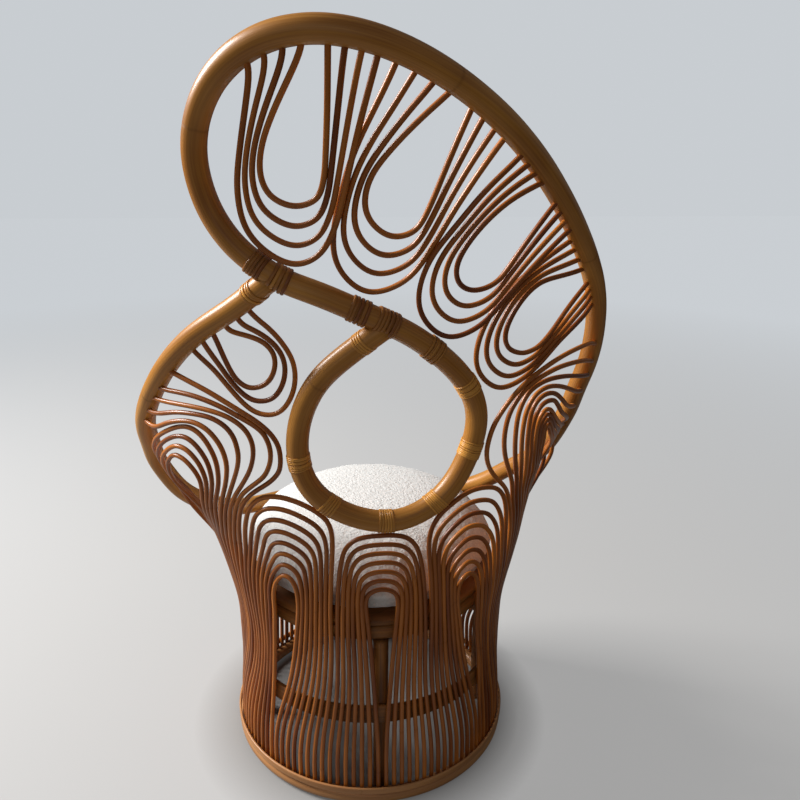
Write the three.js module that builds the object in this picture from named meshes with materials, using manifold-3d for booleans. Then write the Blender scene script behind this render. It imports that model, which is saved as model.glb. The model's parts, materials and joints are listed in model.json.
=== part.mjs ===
// A peacock chair of bent rattan. A drum of round canes stands on a base ring, flares out into
// two arms and a tall back, and ends on one long pole. The pole starts as a small ring behind
// the sitter, crosses as a bar, sweeps up as the hoop of the back, comes down the right side as
// a wing and an arm, and closes the front of the seat. A second pole makes the low left arm.
// Millimetres, +Z up, the front of the seat towards -Y, the origin on the floor in the middle
// of the base ring.
import * as THREE from "three";
import { mergeVertices } from "three/addons/utils/BufferGeometryUtils.js";
import Module from "manifold-3d";

const wasm = await Module();
wasm.setup();

// Driving sizes of the whole chair
const crossingHeight = 1000; // where the left arm meets the main pole; heights are shares of it
const drumRadius = 279; // circle of the cane feet; the reach of the shell is in shares of it
const restGap = 0.3; // between pieces that touch
const crossingGap = 1.6; // between canes that cross

// Poles and canes
const poleDiameter = 38;
const poleTaperShare = 0.96; // thin end of the main pole against its thick end
const caneDiameter = 8.5;
const wrapThickness = 2.6;
const wrapLength = 30;

// Base
const baseRingDiameter = 28;
const baseRingSetback = 3.8; // from the circle of the feet to the middle of the base ring
const trimHeight = 14;
const trimThickness = 4.5;

// Inside of the drum
const hoopHeight = 193;
const hoopWidth = 38;
const hoopThickness = 8;
const hoopGap = 1.5; // from the hoop to the legs, which lean in a little above and below it
const postDiameter = 28;
const postCount = 4;
const postFootLift = 1;
const seatRingDiameter = 32;
const seatRingInset = 5.2; // from the circle of the posts to the middle of the ring on them
const seatRingHeight = 362;
const deckThickness = 12;
const deckOverhang = 4;

// Cushion
const cushionOverhang = 4; // past the edge of the deck
const cushionEdgeHeight = 95;
const cushionCrown = 38;
const cushionCorner = 42;
const cushionDrawIn = 5;

// Facets
const poleSides = 8;
const squareSides = 4;
const mainPoleSteps = 84;
const leftArmSteps = 26;
const nestSteps = 18;
const raySteps = 22;
const archSteps = 16;
const armArchSteps = 20;
const frontArchSteps = 11;
const ringSteps = 36;
const cushionSteps = 36;
const cushionCornerSteps = 4;
const cushionCrownSteps = 4;
const poleBendWeight = 900; // length of straight pole that gets as many facets as a radian of bend
const caneBendWeight = 260; // the same for a cane

// Reach of the shell of canes from the middle of the seat, as pairs of a height share and a
// share of the drum radius, for its rear, the rear and the front of its left and right sides
// and its front
const rearReachShares = [
  [0, 1],
  [0.042, 1],
  [0.193, 0.971],
  [0.32, 0.971],
  [0.4, 0.96],
  [0.5, 0.946],
  [0.6, 0.939],
  [0.8, 0.946],
  [0.9, 0.968],
  [1, 1.018],
  [1.1, 1.129],
  [1.22, 1.265],
  [1.37, 1.412],
];
const leftReachShares = [
  [0, 1],
  [0.042, 1],
  [0.193, 0.971],
  [0.32, 0.975],
  [0.38, 1.02],
  [0.433, 1.066],
  [0.47, 1.105],
  [0.51, 1.155],
  [0.545, 1.233],
  [0.58, 1.33],
  [0.617, 1.42],
  [0.68, 1.52],
  [0.727, 1.548],
  [0.87, 1.534],
  [1.37, 1.541],
];
const leftFrontReachShares = [
  [0, 1],
  [0.042, 1],
  [0.193, 0.971],
  [0.32, 0.971],
  [0.373, 1],
  [0.433, 1.068],
  [0.47, 1.165],
  [0.5, 1.262],
  [0.534, 1.373],
  [0.58, 1.455],
  [0.617, 1.505],
  [0.68, 1.541],
  [0.727, 1.548],
  [0.87, 1.534],
  [1.37, 1.541],
];
const rightReachShares = [
  [0, 1],
  [0.042, 1],
  [0.193, 0.971],
  [0.32, 0.975],
  [0.38, 1.02],
  [0.44, 1.075],
  [0.51, 1.12],
  [0.57, 1.165],
  [0.63, 1.255],
  [0.7, 1.375],
  [0.765, 1.475],
  [0.82, 1.53],
  [0.935, 1.556],
  [1.1, 1.505],
  [1.25, 1.434],
  [1.37, 1.38],
];
const rightFrontReachShares = [
  [0, 1],
  [0.042, 1],
  [0.193, 0.971],
  [0.32, 0.971],
  [0.373, 0.993],
  [0.433, 1.047],
  [0.47, 1.118],
  [0.53, 1.226],
  [0.6, 1.362],
  [0.7, 1.462],
  [0.809, 1.523],
  [0.935, 1.556],
  [1.1, 1.505],
  [1.25, 1.434],
  [1.37, 1.38],
];
// Cosines of the turns between which the rear of a side passes into its front
const rearSideLimit = 0.14;
const frontSideLimit = -0.03;
const waistReachShare = 0.971; // reach where the hoop sits inside the canes
const frontReachShares = [
  [0, 1],
  [0.042, 1],
  [0.193, 0.971],
  [0.32, 0.971],
  [0.4, 0.986],
  [0.45, 1.039],
  [0.5, 1.093],
  [0.6, 1.183],
  [1.37, 1.219],
];

// Routes on the shell. A row holds the degrees round from the middle of the rear, positive
// towards the left arm, and the height as a share of the crossing height.
const mainPoleShares = [
  [-0.5, 0.946],
  [8, 0.897],
  [14, 0.854],
  [18, 0.792],
  [19, 0.721],
  [16.5, 0.657],
  [9.5, 0.617],
  [-1, 0.598],
  [-11, 0.611],
  [-19, 0.65],
  [-22.5, 0.712],
  [-23, 0.771],
  [-20.5, 0.823],
  [-16, 0.868],
  [-9.5, 0.911],
  [-3.5, 0.941],
  [2, 0.96],
  [8, 0.981],
  [14, 1],
  [21, 1.018],
  [26, 1.041],
  [31, 1.069],
  [36, 1.116],
  [38.5, 1.17],
  [38.5, 1.218],
  [35.5, 1.27],
  [30, 1.313],
  [22.5, 1.343],
  [14.5, 1.354],
  [7, 1.35],
  [-1, 1.334],
  [-10, 1.307],
  [-20.5, 1.264],
  [-31, 1.208],
  [-42.5, 1.132],
  [-55, 1.043],
  [-67, 0.955],
  [-76, 0.857],
  [-84, 0.765],
  [-90.5, 0.708],
  [-94, 0.66],
  [-98, 0.598],
  [-103, 0.556],
  [-110, 0.522],
  [-118, 0.48],
  [-130, 0.438],
  [-150, 0.414],
  [-179.94, 0.41],
];
const leftArmShares = [
  [23, 1.022],
  [32.5, 0.968],
  [43, 0.924],
  [55.5, 0.857],
  [68, 0.776],
  [80, 0.7],
  [88, 0.648],
  [92, 0.604],
  [94, 0.565],
  [96.5, 0.525],
  [101, 0.49],
  [112, 0.45],
  [130, 0.424],
  [152, 0.412],
  [179.94, 0.41],
];

// The four nests of the back, each of four bent canes: the route of the inner one and that of
// the outer one, from the hoop down, round and up to the hoop again
const nestCaneCount = 4;
const backNests = [
  {
    layer: 1,
    innerShares: [
      [15.1, 1.335],
      [20, 1.268],
      [23.3, 1.215],
      [23.9, 1.172],
      [21.8, 1.144],
      [17.4, 1.132],
      [13.4, 1.142],
      [11.9, 1.168],
      [11.4, 1.212],
      [11, 1.272],
      [10.8, 1.335],
    ],
    outerShares: [
      [24.8, 1.314],
      [26, 1.262],
      [27.8, 1.205],
      [29, 1.15],
      [27.2, 1.086],
      [18.8, 1.045],
      [13.4, 1.058],
      [10, 1.1],
      [8.1, 1.155],
      [5.6, 1.238],
      [2.5, 1.326],
    ],
  },
  {
    layer: -1,
    innerShares: [
      [-12.9, 1.29],
      [-6.5, 1.252],
      [-0.8, 1.212],
      [3.6, 1.168],
      [4, 1.118],
      [-0.8, 1.085],
      [-5.6, 1.092],
      [-8.6, 1.13],
      [-11.2, 1.178],
      [-14.2, 1.23],
      [-17.2, 1.276],
    ],
    outerShares: [
      [-1.1, 1.321],
      [2.2, 1.27],
      [5.9, 1.214],
      [8.6, 1.152],
      [10.4, 1.05],
      [3.6, 0.997],
      [-4.4, 1.016],
      [-9.5, 1.068],
      [-13.6, 1.122],
      [-20, 1.188],
      [-26.6, 1.239],
    ],
  },
  {
    layer: 1,
    innerShares: [
      [-38.9, 1.17],
      [-31, 1.155],
      [-24.3, 1.132],
      [-18.2, 1.092],
      [-14.6, 1.045],
      [-15.4, 1.012],
      [-18.6, 1],
      [-23.8, 1.01],
      [-27.8, 1.044],
      [-32, 1.081],
      [-37, 1.118],
      [-41.6, 1.145],
    ],
    outerShares: [
      [-30.5, 1.219],
      [-27.3, 1.199],
      [-20.4, 1.159],
      [-14.1, 1.106],
      [-8.5, 1.05],
      [-6.9, 0.972],
      [-13.2, 0.923],
      [-20.4, 0.938],
      [-26.2, 0.98],
      [-32, 1.022],
      [-40.6, 1.068],
      [-48.9, 1.098],
    ],
  },
  {
    layer: -1,
    innerShares: [
      [-57.6, 1.011],
      [-46, 1.006],
      [-37, 1],
      [-31, 0.966],
      [-28, 0.92],
      [-29.4, 0.893],
      [-33.4, 0.881],
      [-36.2, 0.882],
      [-38.9, 0.888],
      [-43, 0.91],
      [-48, 0.942],
      [-53.5, 0.966],
      [-59.3, 0.983],
    ],
    outerShares: [
      [-52.3, 1.07],
      [-44.9, 1.056],
      [-35.4, 1.027],
      [-26.7, 0.983],
      [-21.5, 0.92],
      [-21.4, 0.862],
      [-27.6, 0.823],
      [-34, 0.831],
      [-40.2, 0.857],
      [-46.1, 0.888],
      [-52.4, 0.908],
      [-57.7, 0.921],
      [-60.6, 0.928],
    ],
  },
];

// The nest of three canes that hangs from the left arm
const armNestCount = 3;
const armNest = {
  layer: -1,
  innerShares: [
    [34.6, 0.93],
    [30.2, 0.924],
    [26.2, 0.915],
    [23.8, 0.896],
    [23.8, 0.868],
    [26, 0.843],
    [30, 0.834],
    [33.4, 0.846],
    [36, 0.876],
    [38.4, 0.914],
  ],
  outerShares: [
    [27.7, 0.955],
    [24.6, 0.938],
    [21.6, 0.914],
    [19.2, 0.88],
    [19.6, 0.83],
    [23.4, 0.792],
    [28.8, 0.792],
    [34.6, 0.825],
    [39.6, 0.86],
    [44.9, 0.884],
  ],
};

// Single canes of the two sides, each from its pole down to the bundle behind the arm
const leftRayShares = [
  [
    [56.5, 0.851],
    [52.4, 0.845],
    [45.8, 0.834],
    [40.7, 0.823],
    [36, 0.809],
    [31.6, 0.794],
    [27.8, 0.779],
    [25, 0.762],
    [23.4, 0.745],
    [22.8, 0.728],
    [22.9, 0.707],
    [23.8, 0.689],
    [26.6, 0.669],
    [30.4, 0.652],
    [34.5, 0.632],
  ],
  [
    [62.5, 0.812],
    [57, 0.81],
    [49.7, 0.812],
    [43.9, 0.81],
    [37, 0.799],
    [32.9, 0.787],
    [29.2, 0.775],
    [26.7, 0.762],
    [25.3, 0.742],
    [25, 0.721],
    [25.7, 0.702],
    [27.6, 0.68],
    [30.9, 0.662],
    [34.7, 0.643],
    [36.8, 0.63],
  ],
  [
    [66.2, 0.788],
    [59.6, 0.787],
    [49.3, 0.791],
    [42.5, 0.791],
    [37, 0.786],
    [33.6, 0.777],
    [31, 0.763],
    [29.6, 0.745],
    [29.3, 0.724],
    [30.1, 0.702],
    [31.9, 0.679],
    [34.9, 0.654],
    [38.4, 0.631],
  ],
  [
    [70.5, 0.76],
    [62.3, 0.758],
    [52.8, 0.774],
    [45.3, 0.779],
    [40.2, 0.777],
    [36.5, 0.766],
    [34.4, 0.75],
    [33.5, 0.73],
    [33.4, 0.712],
    [34.5, 0.689],
    [36.8, 0.662],
    [40.2, 0.632],
  ],
  [
    [74.5, 0.736],
    [63.8, 0.73],
    [57, 0.748],
    [50.4, 0.761],
    [45.6, 0.763],
    [41.9, 0.755],
    [39.3, 0.74],
    [37.7, 0.722],
    [37.2, 0.7],
    [37.9, 0.677],
    [39.9, 0.651],
    [42.2, 0.631],
  ],
];
const rightRayShares = [
  [
    [-76.9, 0.847],
    [-72, 0.857],
    [-67, 0.864],
    [-62, 0.87],
    [-54.3, 0.87],
    [-48.4, 0.866],
    [-43.2, 0.857],
    [-38.8, 0.845],
    [-35.7, 0.834],
    [-33.2, 0.821],
    [-31, 0.805],
    [-28.9, 0.782],
    [-27.5, 0.758],
    [-27.2, 0.733],
    [-27.8, 0.708],
    [-30, 0.681],
    [-35, 0.651],
    [-40.2, 0.628],
  ],
  [
    [-80, 0.81],
    [-73, 0.822],
    [-66, 0.832],
    [-60.2, 0.84],
    [-52.8, 0.845],
    [-46.5, 0.845],
    [-41.8, 0.839],
    [-38, 0.83],
    [-35.3, 0.819],
    [-33.4, 0.805],
    [-32, 0.788],
    [-31.4, 0.768],
    [-31.6, 0.745],
    [-32.8, 0.72],
    [-35.3, 0.691],
    [-39.2, 0.661],
    [-43.4, 0.633],
  ],
  [
    [-82.6, 0.78],
    [-75, 0.792],
    [-67, 0.803],
    [-60.2, 0.811],
    [-51.8, 0.822],
    [-46.4, 0.826],
    [-42.4, 0.826],
    [-39.2, 0.821],
    [-36.9, 0.813],
    [-35.5, 0.8],
    [-34.8, 0.783],
    [-34.9, 0.76],
    [-36.2, 0.729],
    [-38.8, 0.694],
    [-42.2, 0.661],
    [-45.9, 0.633],
  ],
  [
    [-86, 0.745],
    [-77, 0.758],
    [-68, 0.771],
    [-60.3, 0.782],
    [-52.3, 0.8],
    [-47, 0.81],
    [-43.4, 0.813],
    [-40.8, 0.81],
    [-38.9, 0.802],
    [-37.8, 0.79],
    [-37.3, 0.773],
    [-37.7, 0.75],
    [-39.2, 0.722],
    [-41.9, 0.69],
    [-44.9, 0.662],
    [-48.2, 0.635],
  ],
  [
    [-91, 0.7],
    [-80, 0.722],
    [-69, 0.74],
    [-58.3, 0.756],
    [-51.7, 0.78],
    [-47.2, 0.796],
    [-44, 0.8],
    [-41.8, 0.797],
    [-40.3, 0.789],
    [-39.5, 0.776],
    [-39.5, 0.76],
    [-40.4, 0.738],
    [-42.4, 0.71],
    [-44.9, 0.684],
    [-47.7, 0.66],
    [-50.6, 0.637],
  ],
  [
    [-94.5, 0.652],
    [-85, 0.676],
    [-75, 0.702],
    [-65, 0.725],
    [-56, 0.747],
    [-51.6, 0.766],
    [-48, 0.782],
    [-45.4, 0.785],
    [-43.5, 0.783],
    [-42.1, 0.774],
    [-41.6, 0.76],
    [-42, 0.742],
    [-43.5, 0.72],
    [-45.6, 0.698],
    [-48.1, 0.676],
    [-50.4, 0.655],
    [-53, 0.637],
  ],
];
// Nested arches of the drum: each nest stands on the base ring with two bundles of legs. The
// inner and the outer arch are given between the waist of one bundle and that of the other.
const rearCentreArches = {
  count: 7,
  innerShares: [
    [3, 0.246],
    [4.3, 0.343],
    [5.2, 0.405],
    [5.6, 0.438],
    [4.8, 0.456],
    [3, 0.464],
    [1.5, 0.467],
    [0, 0.468],
    [-1.5, 0.467],
    [-3, 0.464],
    [-4.8, 0.456],
    [-5.6, 0.438],
    [-5.2, 0.405],
    [-4.3, 0.343],
    [-3, 0.246],
  ],
  outerShares: [
    [17.6, 0.246],
    [16.9, 0.343],
    [15.3, 0.43],
    [13.4, 0.5],
    [11, 0.545],
    [7.8, 0.565],
    [4.2, 0.572],
    [0, 0.5735],
    [-4.2, 0.572],
    [-7.8, 0.565],
    [-11, 0.545],
    [-13.4, 0.5],
    [-15.3, 0.43],
    [-16.9, 0.343],
    [-17.6, 0.246],
  ],
};
const rearLeftArches = {
  count: 8,
  innerShares: [
    [38.2, 0.246],
    [34.1, 0.343],
    [30.5, 0.41],
    [29.7, 0.445],
    [29.9, 0.462],
    [30.6, 0.471],
    [31.6, 0.477],
    [32.8, 0.479],
    [34, 0.478],
    [35.4, 0.473],
    [36.8, 0.466],
    [38.4, 0.455],
    [39.8, 0.44],
    [40.9, 0.423],
    [42.3, 0.385],
    [44.9, 0.343],
    [47.2, 0.246],
  ],
  outerShares: [
    [20.6, 0.246],
    [19.3, 0.343],
    [18, 0.43],
    [15.6, 0.515],
    [13.5, 0.575],
    [14.4, 0.606],
    [18.8, 0.629],
    [24.2, 0.642],
    [29.4, 0.639],
    [34.4, 0.617],
    [39.2, 0.58],
    [43.3, 0.55],
    [48.2, 0.51],
    [51.3, 0.477],
    [54.5, 0.44],
    [58.4, 0.343],
    [60.4, 0.246],
  ],
};
const rearRightArches = {
  count: 8,
  innerShares: [
    [38.2, 0.246],
    [33.4, 0.343],
    [29.6, 0.4],
    [28.3, 0.432],
    [28.5, 0.448],
    [29.4, 0.457],
    [30.6, 0.462],
    [31.8, 0.465],
    [33.2, 0.464],
    [34.8, 0.459],
    [36.4, 0.449],
    [37.8, 0.434],
    [39, 0.415],
    [40.4, 0.39],
    [42.4, 0.36],
    [44.6, 0.31],
    [47.2, 0.246],
  ],
  outerShares: [
    [20.5, 0.246],
    [19.5, 0.343],
    [18, 0.42],
    [16.2, 0.5],
    [14.9, 0.56],
    [16.8, 0.597],
    [21.2, 0.622],
    [26, 0.638],
    [31.4, 0.638],
    [36.8, 0.628],
    [42.2, 0.604],
    [46.7, 0.572],
    [49.8, 0.53],
    [52.4, 0.485],
    [55.2, 0.43],
    [58.4, 0.343],
    [60.6, 0.246],
  ],
};
const leftArmArches = {
  count: 4,
  innerShares: [
    [81.6, 0.246],
    [77.4, 0.343],
    [74.2, 0.444],
    [70.6, 0.51],
    [62.8, 0.552],
    [57.4, 0.58],
    [53.4, 0.605],
    [50.6, 0.628],
    [49.3, 0.645],
    [49.2, 0.657],
    [49.8, 0.668],
    [51, 0.677],
    [52.6, 0.684],
    [54.4, 0.687],
    [56.4, 0.687],
    [59, 0.68],
    [62.6, 0.665],
    [67, 0.642],
    [71.4, 0.614],
    [75.2, 0.581],
    [78, 0.546],
    [80.6, 0.5],
    [83.2, 0.435],
    [86, 0.343],
    [90.4, 0.246],
  ],
  outerShares: [
    [75.4, 0.246],
    [71.1, 0.343],
    [67.8, 0.444],
    [64.4, 0.51],
    [56.7, 0.55],
    [51.5, 0.58],
    [47.7, 0.605],
    [44.4, 0.63],
    [42, 0.653],
    [40.8, 0.677],
    [40.8, 0.702],
    [42.2, 0.724],
    [44.6, 0.741],
    [47.8, 0.75],
    [52, 0.747],
    [58, 0.731],
    [65, 0.708],
    [72.5, 0.678],
    [79, 0.643],
    [83.4, 0.605],
    [86, 0.565],
    [87.8, 0.515],
    [89.4, 0.444],
    [92, 0.343],
    [97, 0.246],
  ],
};
const rightArmArches = {
  count: 4,
  innerShares: [
    [83.4, 0.246],
    [80, 0.343],
    [76.9, 0.444],
    [75.3, 0.51],
    [71.2, 0.56],
    [65, 0.6],
    [61.8, 0.63],
    [58.6, 0.651],
    [55.8, 0.669],
    [53.8, 0.686],
    [52.4, 0.702],
    [51.2, 0.713],
    [50.4, 0.721],
    [50.2, 0.727],
    [50.9, 0.729],
    [52.4, 0.723],
    [56, 0.705],
    [62.4, 0.683],
    [70, 0.656],
    [76, 0.624],
    [81, 0.588],
    [84, 0.55],
    [85.6, 0.505],
    [87, 0.44],
    [88.6, 0.343],
    [92.4, 0.246],
  ],
  outerShares: [
    [77.4, 0.246],
    [74, 0.343],
    [70.9, 0.444],
    [69.8, 0.51],
    [66.2, 0.56],
    [59.6, 0.6],
    [56, 0.637],
    [52.9, 0.656],
    [50.3, 0.676],
    [48, 0.698],
    [46, 0.721],
    [44.9, 0.741],
    [45, 0.756],
    [46.4, 0.765],
    [48.8, 0.762],
    [52, 0.748],
    [57, 0.729],
    [65, 0.708],
    [75, 0.685],
    [83.6, 0.652],
    [88.6, 0.615],
    [90.8, 0.57],
    [92, 0.52],
    [93, 0.45],
    [94.8, 0.343],
    [99, 0.246],
  ],
};
// A low arch of the front: half-width shares of its leg spread and rises from waist to top
const frontArchShares = [
  [1, 0],
  [1, 0.35],
  [0.9, 0.72],
  [0.58, 0.94],
  [0, 1],
  [-0.58, 0.94],
  [-0.9, 0.72],
  [-1, 0.35],
  [-1, 0],
];
const frontCount = 4;
const frontWaistShare = 0.2;
const frontInnerTopShare = 0.315;
const frontOuterTopShare = 0.384;
const frontLegTurn = 1.95;
const frontStart = { left: 107.5, right: 109 }; // turn of the first leg at the waist

// Heights between which the single canes pass from the middle of the shell to its outer layer
const rayLayerStartShare = 0.64;
const rayLayerFullShare = 0.74;

// Lower stretches of the single canes: the turn of the first one and the step to the next
const leftBundleShares = [
  [38.5, 1.72, 0.605],
  [41.7, 1.85, 0.58],
  [45.9, 2.1, 0.55],
  [51, 2.65, 0.51],
  [56.8, 2.15, 0.444],
  [60.9, 1.9, 0.343],
  [63.8, 2.1, 0.246],
];
const rightBundleShares = [
  [45.2, 2.35, 0.6],
  [50.4, 2.5, 0.56],
  [54.7, 2.4, 0.51],
  [57.3, 2.05, 0.444],
  [61, 1.95, 0.343],
  [63.8, 2.1, 0.246],
];
const lowStationShare = 0.12; // height where the legs have spread to their feet

// Wraps of peel: where they sit on the poles
const mainWraps = {
  wrap_arm_joint: { at: [23.6, 1.03], lengthShare: 2.1 },
  wrap_bar_second_nest: { at: [5.2, 0.971], lengthShare: 1 },
  wrap_ring_joint: { at: [-0.4, 0.952], lengthShare: 1 },
  wrap_ring_end: { at: [3.6, 0.921], lengthShare: 0.6 },
  wrap_ring_third_nest: { at: [-10.6, 0.905], lengthShare: 0.8 },
  wrap_ring_fourth_nest: { at: [-19.2, 0.838], lengthShare: 0.8 },
  wrap_ring_right: { at: [-22.7, 0.722], lengthShare: 1 },
  wrap_ring_right_low: { at: [-15, 0.63], lengthShare: 0.8 },
  wrap_ring_bottom: { at: [-1, 0.598], lengthShare: 0.8 },
  wrap_ring_left_low: { at: [12.6, 0.632], lengthShare: 0.8 },
  wrap_ring_left: { at: [19, 0.712], lengthShare: 0.8 },
};
const armWraps = {
  wrap_arm_end: { at: [26.6, 0.994], lengthShare: 0.6 },
};

// Materials
const finishes = {
  pole: { color: 0xb8803f, roughness: 0.42, metalness: 0 },
  cane: { color: 0x8a4c22, roughness: 0.45, metalness: 0 },
  base: { color: 0xc48a58, roughness: 0.48, metalness: 0 },
  wrap: { color: 0xc99a5c, roughness: 0.5, metalness: 0 },
  inner: { color: 0x7d4a26, roughness: 0.6, metalness: 0 },
  cushion: { color: 0xe6e2da, roughness: 0.95, metalness: 0 },
};

// Sizes worked out from those above
const degree = Math.PI / 180;
const degreeLength = drumRadius * degree;
const poleCornerShare = 1.03; // brings an eight-sided section near the area of the round pole
const caneCornerShare = 1.3; // the same for a leg of four sides
const squareCornerShare = 1.25; // the same for a single cane
const legCorner = (caneDiameter / 2) * caneCornerShare;
const caneCorner = (caneDiameter / 2) * squareCornerShare;
const layerOffset = caneCorner * Math.SQRT1_2 + crossingGap / 2;
const footHeight = baseRingDiameter + 1.5 * restGap;

// Value of a table of pairs at a place, on a smooth line that never overshoots its rows
function smoothTable(rows, at) {
  const last = rows.length - 1;
  if (at <= rows[0][0]) return rows[0][1];
  if (at >= rows[last][0]) return rows[last][1];
  const slope = (i) => (rows[i + 1][1] - rows[i][1]) / (rows[i + 1][0] - rows[i][0]);
  const tangent = (i) => {
    if (i === 0) return slope(0);
    if (i === last) return slope(last - 1);
    const [before, after] = [slope(i - 1), slope(i)];
    return before * after <= 0 ? 0 : (2 * before * after) / (before + after);
  };
  const i = rows.findIndex((row) => row[0] > at) - 1;
  const span = rows[i + 1][0] - rows[i][0];
  const t = (at - rows[i][0]) / span;
  const rise = rows[i + 1][1] - rows[i][1];
  const a = tangent(i) * span - rise;
  const b = rise - tangent(i + 1) * span;
  return rows[i][1] + t * rise + t * (1 - t) * (a * (1 - t) + b * t);
}

// Point of the shell at a turn in degrees and a height
function shellPoint(turn, height) {
  const share = height / crossingHeight;
  const side = Math.sin(turn * degree);
  const back = Math.cos(turn * degree);
  const behind = smoothTable(side > 0 ? leftReachShares : rightReachShares, share);
  const before = smoothTable(side > 0 ? leftFrontReachShares : rightFrontReachShares, share);
  const front = THREE.MathUtils.smoothstep(-back, -rearSideLimit, -frontSideLimit);
  const sideReach = behind + front * (before - behind);
  const backReach = smoothTable(back > 0 ? rearReachShares : frontReachShares, share);
  return new THREE.Vector3(
    drumRadius * sideReach * side,
    drumRadius * backReach * back,
    height,
  );
}

// Outward direction of the shell there
function shellOut(turn, height) {
  const round = shellPoint(turn + 1, height).sub(shellPoint(turn - 1, height));
  const up = shellPoint(turn, height + caneDiameter).sub(shellPoint(turn, height - caneDiameter));
  return up.cross(round).normalize();
}

// A route on the shell as fine stations: rows of turn, height share and, where it leaves the
// middle of the shell, its layer
function routeStations(rows, finePerRow = 20) {
  const flat = rows.map(
    ([turn, share, layer = 0]) =>
      new THREE.Vector3(turn * degreeLength, share * crossingHeight, layer * layerOffset),
  );
  const curve = new THREE.CatmullRomCurve3(flat, false, "centripetal");
  return curve.getPoints(rows.length * finePerRow).map((p) => {
    const turn = p.x / degreeLength;
    const out = shellOut(turn, p.y);
    return { turn, height: p.y, out, point: shellPoint(turn, p.y).addScaledVector(out, p.z) };
  });
}

// Keeps a number of stations, closer together where the route bends
function sparse(stations, steps, straightPerTurn) {
  const cost = [0];
  for (let i = 1; i < stations.length; i++) {
    const [a, b] = [stations[i - 1], stations[i]];
    const c = stations[Math.min(i + 1, stations.length - 1)];
    const before = b.point.clone().sub(a.point);
    const after = c.point.clone().sub(b.point);
    const bend = i < stations.length - 1 ? before.angleTo(after) : 0;
    cost.push(cost[i - 1] + before.length() / straightPerTurn + bend);
  }
  const total = cost[cost.length - 1];
  const kept = [];
  for (let k = 0; k <= steps; k++) {
    const target = (total * k) / steps;
    kept.push(stations[cost.findIndex((c) => c >= target - 1e-9)]);
  }
  return kept;
}

// Corners of a section: as many as sides, at radius one, turned by a share of one side
function sectionCorners(sides, turnShare) {
  return Array.from({ length: sides }, (_, i) => {
    const angle = (2 * Math.PI * (i + turnShare)) / sides;
    return [Math.cos(angle), Math.sin(angle)];
  });
}

// Frames along stations: side, out and tangent directions
function framesOf(stations) {
  return stations.map((s, i) => {
    const before = stations[Math.max(i - 1, 0)].point;
    const after = stations[Math.min(i + 1, stations.length - 1)].point;
    const tangent = after.clone().sub(before).normalize();
    const out = s.out.clone().addScaledVector(tangent, -s.out.dot(tangent)).normalize();
    return { point: s.point, tangent, out, side: tangent.clone().cross(out) };
  });
}

// A closed rod through the frames, with a radius at each of them
function rod(frames, corners, radiusAt) {
  const vertices = [];
  const faces = [];
  const n = corners.length;
  frames.forEach((frame, i) => {
    const radius = radiusAt(i / (frames.length - 1));
    for (const [side, out] of corners) {
      const p = frame.point.clone();
      p.addScaledVector(frame.side, side * radius).addScaledVector(frame.out, out * radius);
      vertices.push(p.x, p.y, p.z);
    }
  });
  for (let i = 0; i < frames.length - 1; i++) {
    for (let j = 0; j < n; j++) {
      const [a, b] = [i * n + j, i * n + ((j + 1) % n)];
      const [c, d] = [b + n, a + n];
      faces.push(a, d, c, a, c, b);
    }
  }
  const end = (frames.length - 1) * n;
  for (let j = 1; j < n - 1; j++) {
    faces.push(0, j, j + 1, end, end + j + 1, end + j);
  }
  return geometryOf(vertices, faces);
}

function geometryOf(vertices, faces) {
  const geometry = new THREE.BufferGeometry();
  geometry.setAttribute("position", new THREE.Float32BufferAttribute(vertices, 3));
  geometry.setIndex(faces);
  return geometry;
}

// Between three.js geometry and manifold solids
function solidOf(geometry) {
  const bare = geometry.clone();
  bare.deleteAttribute("normal");
  bare.deleteAttribute("uv");
  const merged = mergeVertices(bare, 1e-4);
  return new wasm.Manifold(
    new wasm.Mesh({
      numProp: 3,
      vertProperties: new Float32Array(merged.attributes.position.array),
      triVerts: new Uint32Array(merged.index.array),
    }),
  );
}

function geometryFrom(solid) {
  const mesh = solid.getMesh();
  return geometryOf(Array.from(mesh.vertProperties), Array.from(mesh.triVerts));
}

const chair = new THREE.Group();

function addPiece(name, solid, finish) {
  const geometry = geometryFrom(solid);
  geometry.computeVertexNormals();
  const material = new THREE.MeshStandardMaterial({ ...finishes[finish], flatShading: true });
  const mesh = new THREE.Mesh(geometry, material);
  mesh.name = name;
  chair.add(mesh);
}

const joined = (solids) => solids.reduce((all, solid) => all.add(solid));
const mirrored = (rows) => rows.map(([turn, ...rest]) => [-turn, ...rest]);

// Rows between an inner and an outer route
function between(innerRows, outerRows, share) {
  return innerRows.map((row, i) => row.map((v, j) => v + share * (outerRows[i][j] - v)));
}

// Index of the station or frame nearest to a point
function nearest(places, point) {
  const squares = places.map((place) => place.point.distanceToSquared(point));
  return squares.indexOf(Math.min(...squares));
}

// The main pole, in two stretches that meet just past the ring's foot
const octagon = sectionCorners(poleSides, 0.5);
const poleCorner = (poleDiameter / 2) * poleCornerShare;
const mainStations = routeStations(mainPoleShares);
const mainFrames = framesOf(sparse(mainStations, mainPoleSteps, poleBendWeight));
const mainCornerAt = (i) => poleCorner * (1 - ((1 - poleTaperShare) * i) / mainPoleSteps);

// The main pole between two of its frames, grown by an allowance
function mainStretch(first, last, allowance) {
  const corner = (s) => mainCornerAt(first + s * (last - first)) + allowance;
  return solidOf(rod(mainFrames.slice(first, last + 1), octagon, corner));
}

const wrapAllowance = wrapThickness + 4 * restGap;
const ringFoot = mainFrames.findIndex((frame, i) => i > 0 && frame.point.x < 0);
const ringHead = ringFoot + 2;
const barTool = mainStretch(ringHead, mainPoleSteps, wrapAllowance);
const ringStart = mainStretch(0, ringFoot, 0).subtract(barTool);
addPiece("main_frame_pole", mainStretch(ringFoot - 1, mainPoleSteps, 0).add(ringStart), "pole");

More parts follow.
